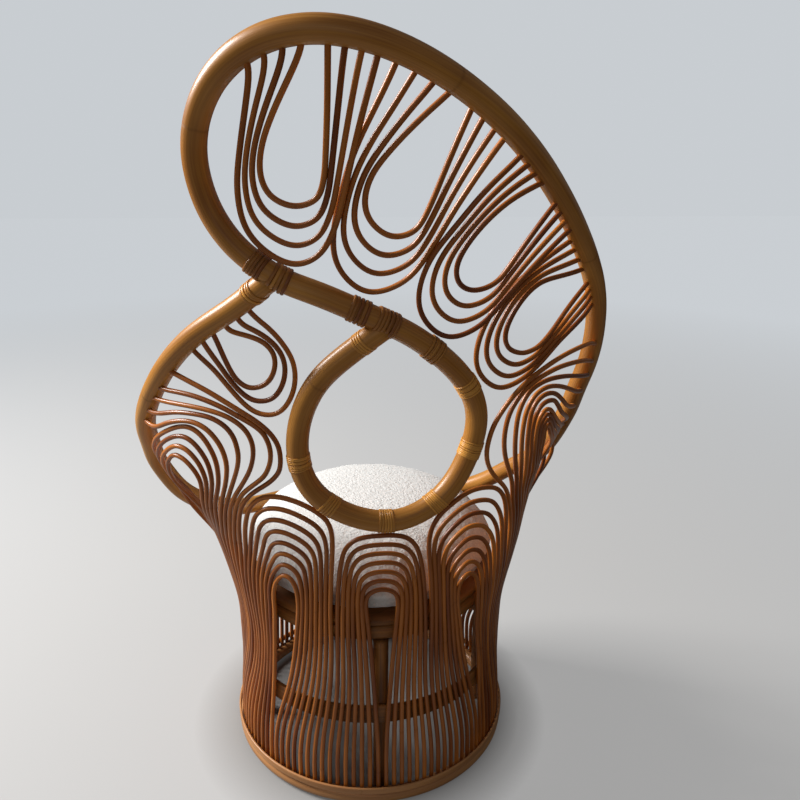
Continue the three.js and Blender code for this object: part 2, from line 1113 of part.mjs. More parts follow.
// The left arm pole butts on the main pole behind and below its wrap
const armCorner = poleCorner * poleTaperShare;
const armStations = routeStations(leftArmShares);
const armFrames = framesOf(sparse(armStations, leftArmSteps, poleBendWeight));
const armStretch = (allowance) => solidOf(rod(armFrames, octagon, () => armCorner + allowance));
addPiece("left_arm_pole", armStretch(0).subtract(barTool), "pole");

// Wraps of peel round the poles
function wrapFrames(stations, at, length) {
  const middle = nearest(stations, shellPoint(at[0], at[1] * crossingHeight));
  const ends = [-1, 1].map((way) => {
    let i = middle;
    while (stations[i].point.distanceTo(stations[middle].point) < length / 2) i += way;
    return stations[i];
  });
  return framesOf([ends[0], stations[middle], ends[1]]);
}

const wrapTools = [];

function addWraps(wraps, stations, poleFrames, cornerAt, pole) {
  for (const [name, { at, lengthShare }] of Object.entries(wraps)) {
    const frames = wrapFrames(stations, at, wrapLength * lengthShare);
    const near = nearest(poleFrames, frames[1].point);
    const outer = cornerAt(near) + restGap + wrapThickness;
    const taken = joined([pole, ...wrapTools]);
    addPiece(name, solidOf(rod(frames, octagon, () => outer)).subtract(taken), "wrap");
    wrapTools.push(solidOf(rod(frames, octagon, () => outer + restGap)));
  }
}

const ringSpare = mainStretch(ringHead, mainPoleSteps, wrapAllowance - restGap);
const ringGrown = mainStretch(0, ringFoot, restGap).subtract(ringSpare);
const mainGrown = mainStretch(ringFoot - 1, mainPoleSteps, restGap).add(ringGrown);
const armGrown = armStretch(restGap);
addWraps(mainWraps, mainStations, mainFrames, mainCornerAt, mainGrown);
addWraps(armWraps, armStations, armFrames, () => armCorner, armGrown);

// What the canes are cut to
const poleTool = joined([mainGrown, armGrown, ...wrapTools]);

// The row of a pole's route nearest to a row of a cane's, on a layer
function rowOnPole(stations, [turn, share], layer) {
  const { turn: poleTurn, height } = stations[nearest(stations, shellPoint(turn, share * crossingHeight))];
  return [poleTurn, height / crossingHeight, layer];
}

const square = sectionCorners(squareSides, 0.5);

function addCane(name, rows, steps) {
  const frames = framesOf(sparse(routeStations(rows), steps, caneBendWeight));
  addPiece(name, solidOf(rod(frames, square, () => caneCorner)).subtract(poleTool), "cane");
}

// Canes of the back and of the left arm, from pole to pole
function addNest(name, nest, count, stations) {
  for (let i = 0; i < count; i++) {
    const rows = between(nest.innerShares, nest.outerShares, i / (count - 1));
    const first = rowOnPole(stations, rows[0], nest.layer);
    const last = rowOnPole(stations, rows[rows.length - 1], nest.layer);
    const layered = rows.map((row) => [...row, nest.layer]);
    addCane(`${name}_cane_${i + 1}`, [first, ...layered, last], nestSteps);
  }
}

backNests.forEach((nest, n) => addNest(`back_nest_${n + 1}`, nest, nestCaneCount, mainStations));
addNest("left_arm_nest", armNest, armNestCount, armStations);

// Feet of the drum: on each side they stand at even turns from the rear to the front
const rayFirstFoot = rearCentreArches.count + 2 * rearLeftArches.count;
const footCount = {
  left: rayFirstFoot + leftRayShares.length + 2 * leftArmArches.count + 5 * frontCount,
  right: rayFirstFoot + rightRayShares.length + 2 * rightArmArches.count + 5 * frontCount,
};

// The two rows that bring a leg from its foot up to where it starts to lean to its bundle
function footRows(index, side) {
  const turn = ((index + 0.5) * 180) / footCount[side];
  return [
    [turn, footHeight / crossingHeight],
    [turn, lowStationShare],
  ];
}

// Single canes, from a pole down to their feet. They lie in the middle of the shell low down
// and in its outer layer above.
function rayLayer(share) {
  const t = (share - rayLayerStartShare) / (rayLayerFullShare - rayLayerStartShare);
  return Math.min(Math.max(t, 0), 1);
}

function addRays(name, rays, bundle, side) {
  rays.forEach((upper, i) => {
    const lower = bundle.map(([turn, step, share]) => [turn + i * step, share]);
    const low = [...lower, ...footRows(rayFirstFoot + i, side).reverse()];
    const rows = [...upper, ...(side === "right" ? mirrored(low) : low)];
    const layered = rows.map(([turn, share]) => [turn, share, rayLayer(share)]);
    addCane(`${name}_${i + 1}`, layered, raySteps);
  });
}

addRays("left_arm_cane", leftRayShares, leftBundleShares, "left");
addRays("right_arm_cane", rightRayShares, rightBundleShares, "right");

// Arches. The legs of a nest touch in its two bundles, so each nest is one piece.
const diamond = sectionCorners(squareSides, 0);

function arch(rows, steps) {
  const frames = framesOf(sparse(routeStations(rows), steps, caneBendWeight));
  return solidOf(rod(frames, diamond, () => legCorner));
}

// A nest whose nearer bundle ends at a foot and whose farther one starts at the next
function sideNest(nest, innerFoot, side, steps) {
  const arches = [];
  for (let k = 0; k < nest.count; k++) {
    const rows = [
      ...footRows(innerFoot - k, side),
      ...between(nest.innerShares, nest.outerShares, k / (nest.count - 1)),
      ...footRows(innerFoot + 1 + k, side).reverse(),
    ];
    arches.push(arch(side === "right" ? mirrored(rows) : rows, steps));
  }
  return joined(arches);
}

function centreNest({ count, innerShares, outerShares }) {
  const arches = [];
  for (let k = 0; k < count; k++) {
    const rows = [
      ...footRows(k, "left"),
      ...between(innerShares, outerShares, k / (count - 1)),
      ...mirrored(footRows(k, "right").reverse()),
    ];
    arches.push(arch(rows, archSteps));
  }
  return joined(arches);
}

const rearInnerFoot = rearCentreArches.count + rearLeftArches.count - 1;
const leftInnerFoot = rayFirstFoot + leftRayShares.length + leftArmArches.count - 1;
const rightInnerFoot = rayFirstFoot + rightRayShares.length + rightArmArches.count - 1;
const finishArches = [
  ["rear_centre_arch_canes", centreNest(rearCentreArches)],
  ["rear_left_arch_canes", sideNest(rearLeftArches, rearInnerFoot, "left", archSteps)],
  ["rear_right_arch_canes", sideNest(rearRightArches, rearInnerFoot, "right", archSteps)],
  ["left_arm_arch_canes", sideNest(leftArmArches, leftInnerFoot, "left", armArchSteps)],
  ["right_arm_arch_canes", sideNest(rightArmArches, rightInnerFoot, "right", armArchSteps)],
];
for (const [name, solid] of finishArches) addPiece(name, solid.subtract(poleTool), "cane");

// The low arches of the front: two nests on each side and one in the middle
function frontRows(k, middle, halfInner) {
  const half = halfInner + k * frontLegTurn;
  const top = frontInnerTopShare + (k / (frontCount - 1)) * (frontOuterTopShare - frontInnerTopShare);
  return frontArchShares.map(([width, rise]) => [
    middle - width * half,
    frontWaistShare + rise * (top - frontWaistShare),
  ]);
}

const frontBundleTurn = (frontCount - 1) * frontLegTurn;
// Turn between the inner legs of a nest, with two nests and a half to a side
const frontGap = (side) => (180 - frontStart[side] - 5 * frontBundleTurn - 2 * frontLegTurn) / 2.5;

function frontSide(side) {
  const arches = [];
  const gap = frontGap(side);
  for (const nest of [0, 1]) {
    const start = frontStart[side] + nest * (2 * frontBundleTurn + gap + frontLegTurn);
    const middle = start + frontBundleTurn + gap / 2;
    const innerFoot = footCount[side] - (5 - 2 * nest) * frontCount + frontCount - 1;
    for (let k = 0; k < frontCount; k++) {
      const rows = [
        ...footRows(innerFoot - k, side),
        ...frontRows(k, middle, gap / 2),
        ...footRows(innerFoot + 1 + k, side).reverse(),
      ];
      arches.push(arch(side === "right" ? mirrored(rows) : rows, frontArchSteps));
    }
  }
  return arches;
}

function frontCentre() {
  const arches = [];
  const [left, right] = [frontGap("left") / 2, frontGap("right") / 2];
  for (let k = 0; k < frontCount; k++) {
    const rightFoot = footRows(footCount.right - 1 - k, "right").reverse();
    const rows = [
      ...footRows(footCount.left - 1 - k, "left"),
      ...frontRows(k, 180 + (right - left) / 2, (left + right) / 2),
      ...rightFoot.map(([turn, share]) => [360 - turn, share]),
    ];
    arches.push(arch(rows, frontArchSteps));
  }
  return arches;
}

const frontArches = joined([...frontSide("left"), ...frontSide("right"), ...frontCentre()]);
addPiece("front_arch_canes", frontArches.subtract(poleTool), "cane");

// Turned pieces: a profile of radius and height, anticlockwise, swept round the middle
function turned(profile, steps) {
  const points = profile.map(([radius, height]) => new THREE.Vector2(radius, height));
  return solidOf(new THREE.LatheGeometry(points, steps).rotateX(Math.PI / 2));
}

function roundProfile(radius, height, diameter) {
  const corner = diameter / 2 / Math.cos(Math.PI / poleSides);
  const corners = sectionCorners(poleSides, 0.5).map(([x, y]) => [
    radius + corner * x,
    height + corner * y,
  ]);
  return [...corners, corners[0]];
}

const bandProfile = (inner, outer, bottom, top) => [
  [inner, bottom],
  [outer, bottom],
  [outer, top],
  [inner, top],
  [inner, bottom],
];

const facetShare = 1 / Math.cos(Math.PI / ringSteps); // keeps the flats of a ring outside a circle
const baseRadius = drumRadius - baseRingSetback;
addPiece(
  "base_ring",
  turned(roundProfile(baseRadius, baseRingDiameter / 2, baseRingDiameter), ringSteps),
  "base",
);
const trimInner = (drumRadius + legCorner + restGap) * facetShare;
const trimProfile = bandProfile(
  trimInner,
  trimInner + trimThickness,
  footHeight,
  footHeight + trimHeight,
);
addPiece("base_trim", turned(trimProfile, ringSteps), "base");

const hoopOuter = drumRadius * waistReachShare - legCorner - hoopGap;
const hoopInner = hoopOuter - hoopThickness;
const hoopBottom = hoopHeight - hoopWidth / 2;
const hoopProfile = bandProfile(hoopInner, hoopOuter, hoopBottom, hoopBottom + hoopWidth);
addPiece("mid_hoop", turned(hoopProfile, ringSteps), "inner");

// Posts between the floor and the seat ring, inside the hoop
const postTop = seatRingHeight - seatRingDiameter / 2 - restGap;
const postCorner = (postDiameter / 2) * poleCornerShare;
const postRadius = hoopInner - restGap - postCorner;
for (let i = 0; i < postCount; i++) {
  const turn = (i * 2 * Math.PI) / postCount;
  const post = new THREE.CylinderGeometry(postCorner, postCorner, postTop - postFootLift, poleSides)
    .rotateX(Math.PI / 2)
    .translate(
      postRadius * Math.sin(turn),
      postRadius * Math.cos(turn),
      (postTop + postFootLift) / 2,
    );
  addPiece(`post_${i + 1}`, solidOf(post), "inner");
}

// Seat ring, deck and cushion
const seatRingRadius = postRadius - seatRingInset;
addPiece(
  "seat_ring",
  turned(roundProfile(seatRingRadius, seatRingHeight, seatRingDiameter), ringSteps),
  "inner",
);
const deckBottom = seatRingHeight + seatRingDiameter / 2 + restGap;
const deckTop = deckBottom + deckThickness;
const deckRadius = seatRingRadius + seatRingDiameter / 2 - deckOverhang;
const deckProfile = [
  [0, deckBottom],
  [deckRadius, deckBottom],
  [deckRadius, deckTop],
  [0, deckTop],
];
addPiece("seat_deck", turned(deckProfile, ringSteps), "inner");
const cushionRadius = deckRadius + cushionOverhang;

// Corner of the cushion's profile, from one angle to another
function cushionCornerArc(height, from) {
  const centre = cushionRadius - cushionCorner;
  return Array.from({ length: cushionCornerSteps + 1 }, (_, i) => {
    const angle = ((from + i / cushionCornerSteps) * Math.PI) / 2;
    return [centre + cushionCorner * Math.cos(angle), height + cushionCorner * Math.sin(angle)];
  });
}

function cushionProfile(bottom) {
  const edge = bottom + cushionEdgeHeight;
  const flat = cushionRadius - cushionCorner;
  const crown = Array.from({ length: cushionCrownSteps }, (_, i) => {
    const share = 1 - (i + 1) / cushionCrownSteps;
    return [flat * share, edge + cushionCrown * (1 - share * share)];
  });
  return [
    [0, bottom],
    ...cushionCornerArc(bottom + cushionCorner, -1),
    [cushionRadius - cushionDrawIn, bottom + cushionEdgeHeight / 2],
    ...cushionCornerArc(edge - cushionCorner, 0),
    ...crown,
  ];
}
addPiece("cushion", turned(cushionProfile(deckTop + restGap), cushionSteps), "cushion");

export default chair;
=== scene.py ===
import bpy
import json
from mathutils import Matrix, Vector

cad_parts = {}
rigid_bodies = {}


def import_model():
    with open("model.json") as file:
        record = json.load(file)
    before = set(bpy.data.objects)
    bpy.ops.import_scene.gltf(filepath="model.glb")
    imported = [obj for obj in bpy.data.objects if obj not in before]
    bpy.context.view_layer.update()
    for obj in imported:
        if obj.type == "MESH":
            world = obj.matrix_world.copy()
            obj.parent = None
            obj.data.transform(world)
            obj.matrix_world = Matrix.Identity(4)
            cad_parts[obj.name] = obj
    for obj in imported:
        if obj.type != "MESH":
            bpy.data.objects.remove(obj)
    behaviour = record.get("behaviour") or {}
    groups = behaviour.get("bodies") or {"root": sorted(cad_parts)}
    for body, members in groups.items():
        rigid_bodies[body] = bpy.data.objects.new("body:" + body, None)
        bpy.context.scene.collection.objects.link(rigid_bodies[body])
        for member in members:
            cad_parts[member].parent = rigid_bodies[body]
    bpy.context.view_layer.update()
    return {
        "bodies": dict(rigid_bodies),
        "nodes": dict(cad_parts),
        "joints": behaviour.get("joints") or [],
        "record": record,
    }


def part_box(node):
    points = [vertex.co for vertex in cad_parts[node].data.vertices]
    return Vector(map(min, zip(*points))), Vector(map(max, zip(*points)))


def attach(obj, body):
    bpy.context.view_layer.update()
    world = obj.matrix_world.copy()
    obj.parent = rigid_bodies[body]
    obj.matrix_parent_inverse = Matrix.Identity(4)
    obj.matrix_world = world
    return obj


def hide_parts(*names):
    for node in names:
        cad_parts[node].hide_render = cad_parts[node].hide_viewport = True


bl_info = {
    "name": "Peacock chair",
    "version": (1, 0, 0),
    "blender": (4, 5, 0),
    "location": "3D View > Sidebar > Peacock chair",
    "description": "Round poles, canes, bindings and a looped-pile cushion on the frame of a rattan chair",
    "category": "Object",
}

import json
import math
import random

import bmesh
import bpy
from mathutils import Matrix, Vector, noise

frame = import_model()

# Without a seed, the noise that the canes wander by would change from run to run
NOISE_SEED = 1
noise.seed_set(NOISE_SEED)


# Helpers for the tables


def reach_table(rows):
    """Rows of height in millimetres and reach in thousandths of the drum radius."""
    return [(height / 1000, reach / 1000) for height, reach in rows]


def heights(rows):
    """Rows of turn and height, from millimetres to metres."""
    return [(turn, height / 1000) for turn, height in rows]


def nest(number, inner, outer):
    """A number that the nest needs, and the routes of its inner and outer cane."""
    return number, heights(inner), heights(outer)


def mirrored(rows):
    """The same route on the other side of the chair."""
    return [[-row[0], *row[1:]] for row in rows]


def both_halves(rows):
    """An arch from its left half, whose last row is its middle."""
    return [*rows, *mirrored(reversed(rows[:-1]))]


# The shell that all poles and canes lie on. Turns are in degrees from the middle of the rear,
# positive towards the left arm. Layers are steps outwards from the shell.
DRUM_RADIUS = 0.279
DEGREE_LENGTH = DRUM_RADIUS * math.pi / 180
LAYER_OFFSET = 0.00456
# The cosine of the turn below which the front tables take over from the rear ones, and the
# width of the blend between them
FRONT_BLEND_START = 0.14
FRONT_BLEND_WIDTH = 0.17
# Half the spans that the direction outwards is taken over
OUTWARD_TURN = 1
OUTWARD_HEIGHT = 0.0085
# The reach of the shell from the middle of the chair, by height: the part near the floor,
# which is the same all round
DRUM_REACH = [(0, 1000), (42, 1000), (193, 971)]
# Towards the rear
REAR_REACH = reach_table([
    *DRUM_REACH, (320, 971), (400, 960), (500, 946), (600, 939), (800, 946), (900, 968),
    (1000, 1018), (1100, 1129), (1220, 1265), (1370, 1412),
])
# Towards the left, in the rear half
LEFT_REACH = reach_table([
    *DRUM_REACH, (320, 975), (380, 1020), (433, 1066), (470, 1105), (510, 1155), (545, 1233),
    (580, 1330), (617, 1420), (680, 1520), (727, 1548), (870, 1534), (1370, 1541),
])
# Towards the left, in the front half
LEFT_FRONT_REACH = reach_table([
    *DRUM_REACH, (320, 971), (373, 1000), (433, 1068), (470, 1165), (500, 1262), (534, 1373),
    (580, 1455), (617, 1505), (680, 1541), (727, 1548), (870, 1534), (1370, 1541),
])
# Towards the right, in the rear half
RIGHT_REACH = reach_table([
    *DRUM_REACH, (320, 975), (380, 1020), (440, 1075), (510, 1120), (570, 1165), (630, 1255),
    (700, 1375), (765, 1475), (820, 1530), (935, 1556), (1100, 1505), (1250, 1434),
    (1370, 1380),
])
# Towards the right, in the front half
RIGHT_FRONT_REACH = reach_table([
    *DRUM_REACH, (320, 971), (373, 993), (433, 1047), (470, 1118), (530, 1226), (600, 1362),
    (700, 1462), (809, 1523), (935, 1556), (1100, 1505), (1250, 1434), (1370, 1380),
])
# Towards the front
FRONT_REACH = reach_table([
    *DRUM_REACH, (320, 971), (400, 986), (450, 1039), (500, 1093), (600, 1183), (1370, 1219),
])
# Routes of the two poles: turn, height
MAIN_POLE = heights([
    (-0.5, 946), (8, 897), (14, 854), (18, 792), (19, 721), (16.5, 657), (9.5, 617), (-1, 598),
    (-11, 611), (-19, 650), (-22.5, 712), (-23, 771), (-20.5, 823), (-16, 868), (-9.5, 911),
    (-3.5, 941), (2, 960), (8, 981), (14, 1000), (21, 1018), (26, 1041), (31, 1069), (36, 1116),
    (38.5, 1170), (38.5, 1218), (35.5, 1270), (30, 1313), (22.5, 1343), (14.5, 1354), (7, 1350),
    (-1, 1334), (-10, 1307), (-20.5, 1264), (-31, 1208), (-42.5, 1132), (-55, 1043), (-67, 955),
    (-76, 857), (-84, 765), (-90.5, 708), (-94, 660), (-98, 598), (-103, 556), (-110, 522),
    (-118, 480), (-130, 438), (-150, 414), (-179.94, 410),
])
LEFT_ARM = heights([
    (23, 1022), (32.5, 968), (43, 924), (55.5, 857), (68, 776), (80, 700), (88, 648), (92, 604),
    (94, 565), (96.5, 525), (101, 490), (112, 450), (130, 424), (152, 412), (179.94, 410),
])
# The four nests of the back: layer, inner route, outer route
BACK_NESTS = [
    nest(1, [
        (15.1, 1335), (20, 1268), (23.3, 1215), (23.9, 1172), (21.8, 1144), (17.4, 1132),
        (13.4, 1142), (11.9, 1168), (11.4, 1212), (11, 1272), (10.8, 1335),
    ], [
        (24.8, 1314), (26, 1262), (27.8, 1205), (29, 1150), (27.2, 1086), (18.8, 1045),
        (13.4, 1058), (10, 1100), (8.1, 1155), (5.6, 1238), (2.5, 1326),
    ]),
    nest(-1, [
        (-12.9, 1290), (-6.5, 1252), (-0.8, 1212), (3.6, 1168), (4, 1118), (-0.8, 1085),
        (-5.6, 1092), (-8.6, 1130), (-11.2, 1178), (-14.2, 1230), (-17.2, 1276),
    ], [
        (-1.1, 1321), (2.2, 1270), (5.9, 1214), (8.6, 1152), (10.4, 1050), (3.6, 997),
        (-4.4, 1016), (-9.5, 1068), (-13.6, 1122), (-20, 1188), (-26.6, 1239),
    ]),
    nest(1, [
        (-38.9, 1170), (-31, 1155), (-24.3, 1132), (-18.2, 1092), (-14.6, 1045), (-15.4, 1012),
        (-18.6, 1000), (-23.8, 1010), (-27.8, 1044), (-32, 1081), (-37, 1118), (-41.6, 1145),
    ], [
        (-30.5, 1219), (-27.3, 1199), (-20.4, 1159), (-14.1, 1106), (-8.5, 1050), (-6.9, 972),
        (-13.2, 923), (-20.4, 938), (-26.2, 980), (-32, 1022), (-40.6, 1068), (-48.9, 1098),
    ]),
    nest(-1, [
        (-57.6, 1011), (-46, 1006), (-37, 1000), (-31, 966), (-28, 920), (-29.4, 893),
        (-33.4, 881), (-36.2, 882), (-38.9, 888), (-43, 910), (-48, 942), (-53.5, 966),
        (-59.3, 983),
    ], [
        (-52.3, 1070), (-44.9, 1056), (-35.4, 1027), (-26.7, 983), (-21.5, 920), (-21.4, 862),
        (-27.6, 823), (-34, 831), (-40.2, 857), (-46.1, 888), (-52.4, 908), (-57.7, 921),
        (-60.6, 928),
    ]),
]
# The nest in the left arm
ARM_NEST = nest(-1, [
    (34.6, 930), (30.2, 924), (26.2, 915), (23.8, 896), (23.8, 868), (26, 843), (30, 834),
    (33.4, 846), (36, 876), (38.4, 914),
], [
    (27.7, 955), (24.6, 938), (21.6, 914), (19.2, 880), (19.6, 830), (23.4, 792), (28.8, 792),
    (34.6, 825), (39.6, 860), (44.9, 884),
])
# Upper stretches of the single canes of the left side
LEFT_RAYS = [heights(rows) for rows in (
    [
        (56.5, 851), (52.4, 845), (45.8, 834), (40.7, 823), (36, 809), (31.6, 794), (27.8, 779),
        (25, 762), (23.4, 745), (22.8, 728), (22.9, 707), (23.8, 689), (26.6, 669), (30.4, 652),
        (34.5, 632),
    ],
    [
        (62.5, 812), (57, 810), (49.7, 812), (43.9, 810), (37, 799), (32.9, 787), (29.2, 775),
        (26.7, 762), (25.3, 742), (25, 721), (25.7, 702), (27.6, 680), (30.9, 662), (34.7, 643),
        (36.8, 630),
    ],
    [
        (66.2, 788), (59.6, 787), (49.3, 791), (42.5, 791), (37, 786), (33.6, 777), (31, 763),
        (29.6, 745), (29.3, 724), (30.1, 702), (31.9, 679), (34.9, 654), (38.4, 631),
    ],
    [
        (70.5, 760), (62.3, 758), (52.8, 774), (45.3, 779), (40.2, 777), (36.5, 766),
        (34.4, 750), (33.5, 730), (33.4, 712), (34.5, 689), (36.8, 662), (40.2, 632),
    ],
    [
        (74.5, 736), (63.8, 730), (57, 748), (50.4, 761), (45.6, 763), (41.9, 755), (39.3, 740),
        (37.7, 722), (37.2, 700), (37.9, 677), (39.9, 651), (42.2, 631),
    ],
)]
# The same on the right side
RIGHT_RAYS = [heights(rows) for rows in (
    [
        (-76.9, 847), (-72, 857), (-67, 864), (-62, 870), (-54.3, 870), (-48.4, 866),
        (-43.2, 857), (-38.8, 845), (-35.7, 834), (-33.2, 821), (-31, 805), (-28.9, 782),
        (-27.5, 758), (-27.2, 733), (-27.8, 708), (-30, 681), (-35, 651), (-40.2, 628),
    ],
    [
        (-80, 810), (-73, 822), (-66, 832), (-60.2, 840), (-52.8, 845), (-46.5, 845),
        (-41.8, 839), (-38, 830), (-35.3, 819), (-33.4, 805), (-32, 788), (-31.4, 768),
        (-31.6, 745), (-32.8, 720), (-35.3, 691), (-39.2, 661), (-43.4, 633),
    ],
    [
        (-82.6, 780), (-75, 792), (-67, 803), (-60.2, 811), (-51.8, 822), (-46.4, 826),
        (-42.4, 826), (-39.2, 821), (-36.9, 813), (-35.5, 800), (-34.8, 783), (-34.9, 760),
        (-36.2, 729), (-38.8, 694), (-42.2, 661), (-45.9, 633),
    ],
    [
        (-86, 745), (-77, 758), (-68, 771), (-60.3, 782), (-52.3, 800), (-47, 810),
        (-43.4, 813), (-40.8, 810), (-38.9, 802), (-37.8, 790), (-37.3, 773), (-37.7, 750),
        (-39.2, 722), (-41.9, 690), (-44.9, 662), (-48.2, 635),
    ],
    [
        (-91, 700), (-80, 722), (-69, 740), (-58.3, 756), (-51.7, 780), (-47.2, 796),
        (-44, 800), (-41.8, 797), (-40.3, 789), (-39.5, 776), (-39.5, 760), (-40.4, 738),
        (-42.4, 710), (-44.9, 684), (-47.7, 660), (-50.6, 637),
    ],
    [
        (-94.5, 652), (-85, 676), (-75, 702), (-65, 725), (-56, 747), (-51.6, 766), (-48, 782),
        (-45.4, 785), (-43.5, 783), (-42.1, 774), (-41.6, 760), (-42, 742), (-43.5, 720),
        (-45.6, 698), (-48.1, 676), (-50.4, 655), (-53, 637),
    ],
)]
# Their lower stretches: turn of the first cane, step to the next, height in metres
LEFT_BUNDLE = [
    (38.5, 1.72, 0.605), (41.7, 1.85, 0.58), (45.9, 2.1, 0.55), (51, 2.65, 0.51),
    (56.8, 2.15, 0.444), (60.9, 1.9, 0.343), (63.8, 2.1, 0.246),
]
RIGHT_BUNDLE = [
    (45.2, 2.35, 0.6), (50.4, 2.5, 0.56), (54.7, 2.4, 0.51), (57.3, 2.05, 0.444),
    (61, 1.95, 0.343), (63.8, 2.1, 0.246),
]
# Nested arches of the drum: count, inner route, outer route
REAR_CENTRE = nest(7, both_halves([
    (3, 246), (4.3, 343), (5.2, 405), (5.6, 438), (4.8, 456), (3, 464), (1.5, 467), (0, 468),
]), both_halves([
    (17.6, 246), (16.9, 343), (15.3, 430), (13.4, 500), (11, 545), (7.8, 565), (4.2, 572),
    (0, 573.5),
]))
REAR_LEFT = nest(8, [
    (38.2, 246), (34.1, 343), (30.5, 410), (29.7, 445), (29.9, 462), (30.6, 471), (31.6, 477),
    (32.8, 479), (34, 478), (35.4, 473), (36.8, 466), (38.4, 455), (39.8, 440), (40.9, 423),
    (42.3, 385), (44.9, 343), (47.2, 246),
], [
    (20.6, 246), (19.3, 343), (18, 430), (15.6, 515), (13.5, 575), (14.4, 606), (18.8, 629),
    (24.2, 642), (29.4, 639), (34.4, 617), (39.2, 580), (43.3, 550), (48.2, 510), (51.3, 477),
    (54.5, 440), (58.4, 343), (60.4, 246),
])
REAR_RIGHT = nest(8, [
    (38.2, 246), (33.4, 343), (29.6, 400), (28.3, 432), (28.5, 448), (29.4, 457), (30.6, 462),
    (31.8, 465), (33.2, 464), (34.8, 459), (36.4, 449), (37.8, 434), (39, 415), (40.4, 390),
    (42.4, 360), (44.6, 310), (47.2, 246),
], [
    (20.5, 246), (19.5, 343), (18, 420), (16.2, 500), (14.9, 560), (16.8, 597), (21.2, 622),
    (26, 638), (31.4, 638), (36.8, 628), (42.2, 604), (46.7, 572), (49.8, 530), (52.4, 485),
    (55.2, 430), (58.4, 343), (60.6, 246),
])
LEFT_ARM_ARCHES = nest(4, [
    (81.6, 246), (77.4, 343), (74.2, 444), (70.6, 510), (62.8, 552), (57.4, 580), (53.4, 605),
    (50.6, 628), (49.3, 645), (49.2, 657), (49.8, 668), (51, 677), (52.6, 684), (54.4, 687),
    (56.4, 687), (59, 680), (62.6, 665), (67, 642), (71.4, 614), (75.2, 581), (78, 546),
    (80.6, 500), (83.2, 435), (86, 343), (90.4, 246),
], [
    (75.4, 246), (71.1, 343), (67.8, 444), (64.4, 510), (56.7, 550), (51.5, 580), (47.7, 605),
    (44.4, 630), (42, 653), (40.8, 677), (40.8, 702), (42.2, 724), (44.6, 741), (47.8, 750),
    (52, 747), (58, 731), (65, 708), (72.5, 678), (79, 643), (83.4, 605), (86, 565),
    (87.8, 515), (89.4, 444), (92, 343), (97, 246),
])
RIGHT_ARM_ARCHES = nest(4, [
    (83.4, 246), (80, 343), (76.9, 444), (75.3, 510), (71.2, 560), (65, 600), (61.8, 630),
    (58.6, 651), (55.8, 669), (53.8, 686), (52.4, 702), (51.2, 713), (50.4, 721), (50.2, 727),
    (50.9, 729), (52.4, 723), (56, 705), (62.4, 683), (70, 656), (76, 624), (81, 588),
    (84, 550), (85.6, 505), (87, 440), (88.6, 343), (92.4, 246),
], [
    (77.4, 246), (74, 343), (70.9, 444), (69.8, 510), (66.2, 560), (59.6, 600), (56, 637),
    (52.9, 656), (50.3, 676), (48, 698), (46, 721), (44.9, 741), (45, 756), (46.4, 765),
    (48.8, 762), (52, 748), (57, 729), (65, 708), (75, 685), (83.6, 652), (88.6, 615),
    (90.8, 570), (92, 520), (93, 450), (94.8, 343), (99, 246),
])
# The front, on each side of its middle: five bundles of legs and two and a half gaps, because
# the two sides share the middle gap
FRONT_COUNT = 4
FRONT_BUNDLES = 5
FRONT_GAPS = 2.5
FRONT_WAIST = 0.2
FRONT_INNER_TOP = 0.315
FRONT_OUTER_TOP = 0.384
FRONT_LEG_TURN = 1.95
FRONT_START = {"left": 107.5, "right": 109}
# A low arch of the front: width share, rise share
FRONT_ARCH = [
    (1, 0), (1, 0.35), (0.9, 0.72), (0.58, 0.94), (0, 1), (-0.58, 0.94), (-0.9, 0.72),
    (-1, 0.35), (-1, 0),
]
# Heights of the feet of the canes, where their lowest stretch ends, and where a single cane
# begins and ends its move to the outer layer
FOOT_HEIGHT = 0.0285
LOW_HEIGHT = 0.12
RAY_LAYER_START = 0.64
RAY_LAYER_FULL = 0.74
# How many times the corners of a route are rounded off
CANE_EASING = 24
POLE_EASING = 40
# Longest step along a route, and the bend in radians that takes a step of its own
CANE_STEPS = (0.014, 0.17)
POLE_STEPS = (0.016, 0.08)
BINDING_STEPS = (0.002, 0.02)
# How far a cane wanders off its route, how quickly, and how far apart the noise of two canes is
WANDER = 0.0009
WANDER_SCALE = 9
WANDER_SHIFT_X = 7.3
WANDER_SHIFT_Y = 1.7

